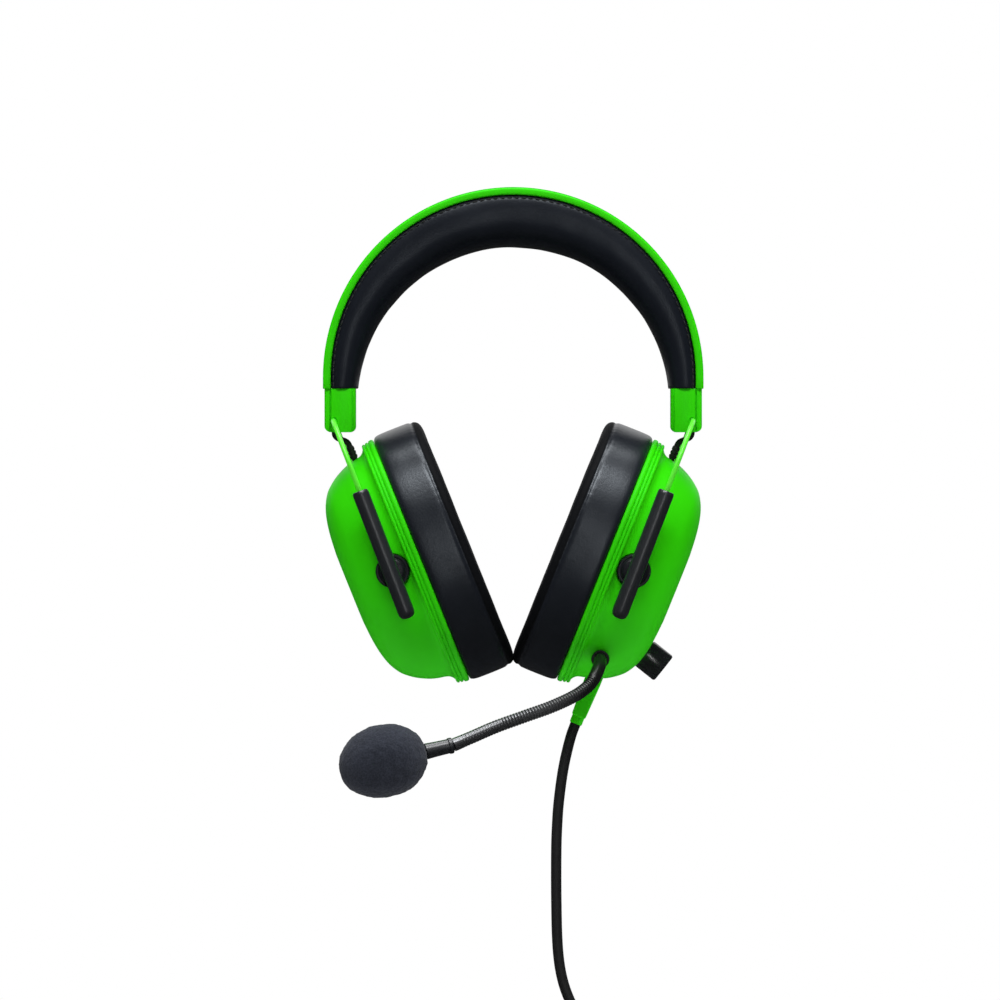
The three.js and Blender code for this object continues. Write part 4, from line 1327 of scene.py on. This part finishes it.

# %% [markdown]
# ## Link cables and their grommets
#
# A thin lead carries the sound from the band to each cup. It comes out under the end cap, bends in
# behind the wire and enters a rubber grommet on the cup. It has to follow the slider and the tilt,
# and it is made in two stretches that meet part way down.

# %% Links
LINK_ROUTE = mm([(67.7, 0, -68.6), (67.7, 0, -70.4), (67.5, 0, -71.3), (66.8, 0, -72.2), (65.6, 0, -72.8),
                 (64.3, 0, -73.2), (63.2, 0, -73.7), (62.5, 0, -74.4), (62.08, 0, -75.2), (61.6, 0, -76.4)])
link_line = flowing(LINK_ROUTE, 6)
LINK_SPLIT = 27
LINK_RADIUS = 1.15 * MM
GROMMET = [(0, 41), (1.15, 41), (1.15, 45), (1.45, 45.4), (1.5, 46.2), (1.25, 46.4), (1.25, 46.7), (1.5, 46.9),
           (1.5, 47.7), (1.25, 47.9), (1.25, 48.2), (1.45, 48.4), (1.45, 49.2), (1.25, 49.8), (0, 49.9)]
link_grommet = lathe("link_grommet", GROMMET, 36)
for hand in HANDS:
    line = [SIDE[hand] @ p for p in link_line]
    upper = swept(f"link_upper_{hand}", line[:LINK_SPLIT + 1], LINK_RADIUS, 16)
    finished(upper, "cable_rubber", nodes=(f"link_cable_{hand}",), angle=60)
    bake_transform(upper)
    lower = swept(f"link_lower_{hand}", line[LINK_SPLIT - 1:], LINK_RADIUS, 16)
    finished(lower, "cable_rubber", angle=60)
    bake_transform(lower)
    spot = CUP[hand] @ Matrix.Translation((-2.5 * MM, 0, 0))
    piece = copied(link_grommet, f"grommet_{hand}", spot)
    finished(piece, "cable_rubber", f"cup_{hand}", (f"link_grommet_{hand}",))
bpy.data.objects.remove(link_grommet)

# %% [markdown]
# ## Volume knob
#
# A smooth drum on the lower rear of the left cup. A thinner neck separates it from the shell, and
# its far end has a polished, rounded edge and a slightly sunk face.

# %% Knob
KNOB_OUTLINE = [
    (0, -5), (1.8, -5), (1.8, 0), (5.4, 0), (5.4, 3.4), (5.55, 3.7), (5.85, 3.85), (5.9, 4.1),
    (5.9, 12.2), (5.75, 12.6), (5.35, 12.95), (4.9, 13.0), (4.7, 12.8), (0, 12.75),
]
knob = lathe("knob_drum", KNOB_OUTLINE, 72)
moved(knob, CUP["left"] @ aimed(knob_direction, knob_base))
finished(knob, "gloss_black", "knob", ("volume_knob",), 30)

# %% [markdown]
# ## Cable strain relief
#
# The cable leaves the left cup through a green strain relief: a flat-sided block that narrows
# downwards, with a short round neck. It starts as a cube, is cut into slices, narrowed and bevelled.

# %% Strain relief
NARROWS_FROM = 4.5
NARROWED_BY = 0.17
relief = block("strain_relief", (6.5, 7.4, 19))
for height in (NARROWS_FROM, 3.5, -2.5, -6.5):
    in_edit(relief)
    bpy.ops.mesh.bisect(plane_co=(0, 0, height * MM), plane_no=(0, 0, 1))
    out_of_edit()
for vertex in relief.data.vertices:
    low = max(0, min(1, (NARROWS_FROM - vertex.co.z / MM) / 14.8))
    vertex.co.x *= 1 - NARROWED_BY * low
    vertex.co.y *= 1 - NARROWED_BY * low
relief = bevelled(cleaned(relief), 0.7 * MM, 4, 50)
relief = moved(relief, Matrix.Translation((RELIEF_OUT * MM, 0, -49.5 * MM)))
neck = lathe("neck", [(0, -61.9), (2.25, -61.9), (2.4, -61.5), (2.4, -58), (0, -58)], 40)
moved(neck, Matrix.Translation((RELIEF_OUT * MM, 0, 0)))
relief = moved(cut(relief, neck, operation='UNION'), CUP["left"])
finished(relief, "green_plastic", "cup_left", ("cable_gland",))

# %% [markdown]
# ## The gooseneck boom
#
# The boom is a flexible steel hose in a dark finish: a smooth sleeve where it leaves the cup, then
# wound ribs all the way to the ferrule, shallower beyond the second joint. The skin is made in two
# pieces that meet in the stiff middle, between the two joints.

# %% Boom
BOOM_ROUTE = mm([
    (32.9, -18, -156), (32.9, -23, -156), (32.9, -28, -156.1), (32.5, -34, -158.4), (30.9, -38.8, -162.2),
    (28.7, -42, -165.5), (23.7, -47.5, -169.3), (14.7, -54, -173.5), (4, -59, -177.3), (-6.6, -62.5, -181.1),
    (-15, -65, -184.7), (-22.5, -67, -187.9),
])
BOOM_RAISE = Vector((28.7, -42, -165.5)) * MM
BOOM_SWING = Vector((4, -59, -177.3)) * MM
BOOM_RADIUS = 2.5


def evenly(path, step):
    """Points at even steps along a path."""
    line, left = [path[0].copy()], step
    for a, b in zip(path, path[1:]):
        length, done = (b - a).length, 0.0
        while length - done >= left:
            done += left
            line.append(a.lerp(b, done / length))
            left = step
        left -= length - done
    return line + [path[-1].copy()]


RIB_STEP = 0.2 * MM
RIB_PITCH = 6
RIB_DEPTH = 0.12
RIB_FADE = 12
boom_line = evenly(flowing(BOOM_ROUTE, 24), RIB_STEP)


def nearest(point):
    return min(range(len(boom_line)), key=lambda i: (boom_line[i] - point).length)


raise_at, swing_at = nearest(BOOM_RAISE), nearest(BOOM_SWING)
ribs_from, ribs_to = raise_at - 20, len(boom_line) - 12
boom_split = (raise_at + swing_at) // 2


def rib_swell(i):
    inside = min(i - ribs_from, ribs_to - i)
    if inside < 0:
        return 1.0
    fade = min(1, inside / RIB_FADE)
    deep = RIB_DEPTH if i < swing_at else RIB_DEPTH - 0.07 * min(1, (i - swing_at) / 80)
    wave = abs(math.sin(math.pi * i / RIB_PITCH)) ** 0.7
    return 1 - deep * fade * (1 - wave) - 0.02 * fade


def hose(name, first, last, *nodes):
    """One stretch of the hose, in its finish."""
    skin = swept(name, boom_line[first:last + 1], BOOM_RADIUS * MM, 24, lambda i: rib_swell(first + i))
    return finished(skin, "hose_finish", nodes=nodes, angle=60)


lower_hose = hose("hose_lower", 0, boom_split, "boom_base", "boom_middle")
upper_hose = hose("hose_upper", boom_split - 1, len(boom_line) - 1, "boom_tip")
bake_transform(lower_hose)
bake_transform(upper_hose)
BOOM_SEAL = [(2.56, -3.2), (3.2, -3.2), (3.3, 2.0), (3.35, 2.9), (3.1, 3.2), (2.6, 3.1)]
grommet = lathe("boom_seal", BOOM_SEAL, 48, True)
moved(grommet, aimed((0, -1, 0), Vector((32.9, -24.5, -156)) * MM))
finished(grommet, "cable_rubber", "cup_left", ("boom_grommet",))
print("boom:", len(boom_line), "sections")

# %% [markdown]
# ## Ferrule and windscreen
#
# A stepped black ferrule holds the capsule, and a foam windscreen is pulled over both. The foam is an
# egg, a little flattened at its far end. It is spun and then built again from small even faces, so
# that no mark is left where the spun lines met. Real foam is lumpy, so its points are pushed in and
# out by layered noise: deep lumps, smaller ones and pores.

# %% Ferrule and foam
FERRULE_START = BOOM_ROUTE[-1]
FOAM_CENTRE = Vector((-49, -71.5, -194)) * MM
mic_direction = (FOAM_CENTRE - FERRULE_START).normalized()
mic_place = aimed(mic_direction, FERRULE_START)
FERRULE = [(0, 0.3), (2.75, 0.3), (3.0, 0.55), (3.05, 0.9), (3.05, 1.7), (2.95, 1.9), (2.78, 2.0), (2.75, 2.3),
           (2.8, 5), (2.9, 8), (3.05, 10.7), (2.7, 11), (0, 11)]
ferrule = moved(lathe("ferrule", FERRULE, 56), mic_place)
finished(ferrule, "tube_black", "boom_upper", ("mic_ferrule",), 30)

FOAM_LENGTH, FOAM_RADIUS, FOAM_STEPS = 34.0, 13.5, 60
FOAM_VOXEL = 0.5 * MM
foam_start = (FOAM_CENTRE - FERRULE_START).length / MM - FOAM_LENGTH / 2
foam_outline = [(3.3, foam_start + 14), (3.3, foam_start + 1.2)]
for i in range(4, FOAM_STEPS + 1):
    share = i / FOAM_STEPS
    radius = FOAM_RADIUS * math.sin(math.pi * share) ** 0.92 * (1.06 - 0.06 * share)
    height = foam_start + FOAM_LENGTH * (1 - math.cos(math.pi * share)) / 2
    foam_outline.append((radius if i < FOAM_STEPS else 0, height))
foam_outline += [(0, foam_start + 24), (4.7, foam_start + 24), (4.7, foam_start + 14)]
foam = lathe("windscreen", foam_outline, 96, True)
foam = applied(foam, 'REMESH', mode='VOXEL', voxel_size=FOAM_VOXEL)
for vertex in foam.data.vertices:
    point = vertex.co
    lumps = noise.noise(point * 130) * 0.42 + noise.noise(point * 420) * 0.2
    pores = noise.noise(point * 1100) * 0.16
    vertex.co = point + vertex.normal * (lumps + pores - 0.25) * MM
foam = moved(foam, mic_place)
finished(foam, "open_foam", "boom_upper", ("foam_windscreen",), 80)
print("windscreen:", len(foam.data.polygons), "faces")

# %% [markdown]
# ## Light and ground
#
# The headset hangs in a bright, even studio. Broad soft boxes hang overhead and over the front, so
# black leatherette shows long soft highlights, with a weak one behind and a narrow one before it.
# The boxes at the two sides only fill in light: shiny pieces don't mirror them. A pale round floor
# lies below the plug and isn't mirrored either. The sky is white to the eye but gives little light.

# %% Studio
TARGET = (0, 0, -0.1)
WORLD_LIGHT = 0.04


def soft_box(name, place, size, power, mirrored=True):
    data = bpy.data.lights.new(name, 'AREA')
    data.shape = 'RECTANGLE'
    data.size, data.size_y = size
    data.energy = power
    box = bpy.data.objects.new(name, data)
    bpy.context.scene.collection.objects.link(box)
    box.location = place
    box.rotation_euler = (Vector(TARGET) - Vector(place)).to_track_quat('-Z', 'Y').to_euler()
    box.visible_camera = False
    box.visible_glossy = mirrored


soft_box("side_left", (-1.2, -0.1, 0.05), (0.4, 0.9), 4.0, False)
soft_box("side_right", (1.2, -0.1, 0.15), (0.4, 0.9), 5.5, False)
soft_box("over_the_front", (0, -0.74, 0.90), (0.8, 0.28), 13.0)
soft_box("overhead", (0, 0.12, 1.0), (0.9, 0.6), 15.0)
soft_box("behind", (0, 0.9, 0.3), (1.2, 0.8), 3.0)
soft_box("front", (0.13, -1.25, -0.02), (0.10, 0.45), 1.2)

world = bpy.data.worlds.new("studio")
bpy.context.scene.world = world
world.use_nodes = True
tree = world.node_tree
tree.nodes.clear()
seen = tree.nodes.new('ShaderNodeBackground')
seen.inputs["Color"].default_value = (1, 1, 1, 1)
seen.inputs["Strength"].default_value = 1.0
lit = tree.nodes.new('ShaderNodeBackground')
lit.inputs["Color"].default_value = (0.95, 0.97, 1, 1)
lit.inputs["Strength"].default_value = WORLD_LIGHT
to_eye = tree.nodes.new('ShaderNodeLightPath')
choice = tree.nodes.new('ShaderNodeMixShader')
sky = tree.nodes.new('ShaderNodeOutputWorld')
tree.links.new(to_eye.outputs["Is Camera Ray"], choice.inputs[0])
tree.links.new(lit.outputs[0], choice.inputs[1])
tree.links.new(seen.outputs[0], choice.inputs[2])
tree.links.new(choice.outputs[0], sky.inputs[0])

FLOOR_BELOW = 36 * MM
bpy.ops.object.select_all(action='DESELECT')
floor_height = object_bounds()[0][2] - FLOOR_BELOW
bpy.ops.mesh.primitive_cylinder_add(vertices=96, radius=0.6, depth=0.01,
                                    location=(0, 0, floor_height - 0.005))
ground = bpy.context.object
ground.name = "studio_floor"
bpy.ops.object.transform_apply(location=True)
ground_finish = Finish("pale_floor", Specular_IOR_Level=0.3)
ground_finish.colour(ground_finish.noise(6, 3), (0.62, 0.62, 0.62), (0.66, 0.66, 0.66))
ground_finish.roughness(0.6 + ground_finish.noise(40, 2) * 0.1)
ground.data.materials.append(ground_finish.material)
ground.visible_glossy = False
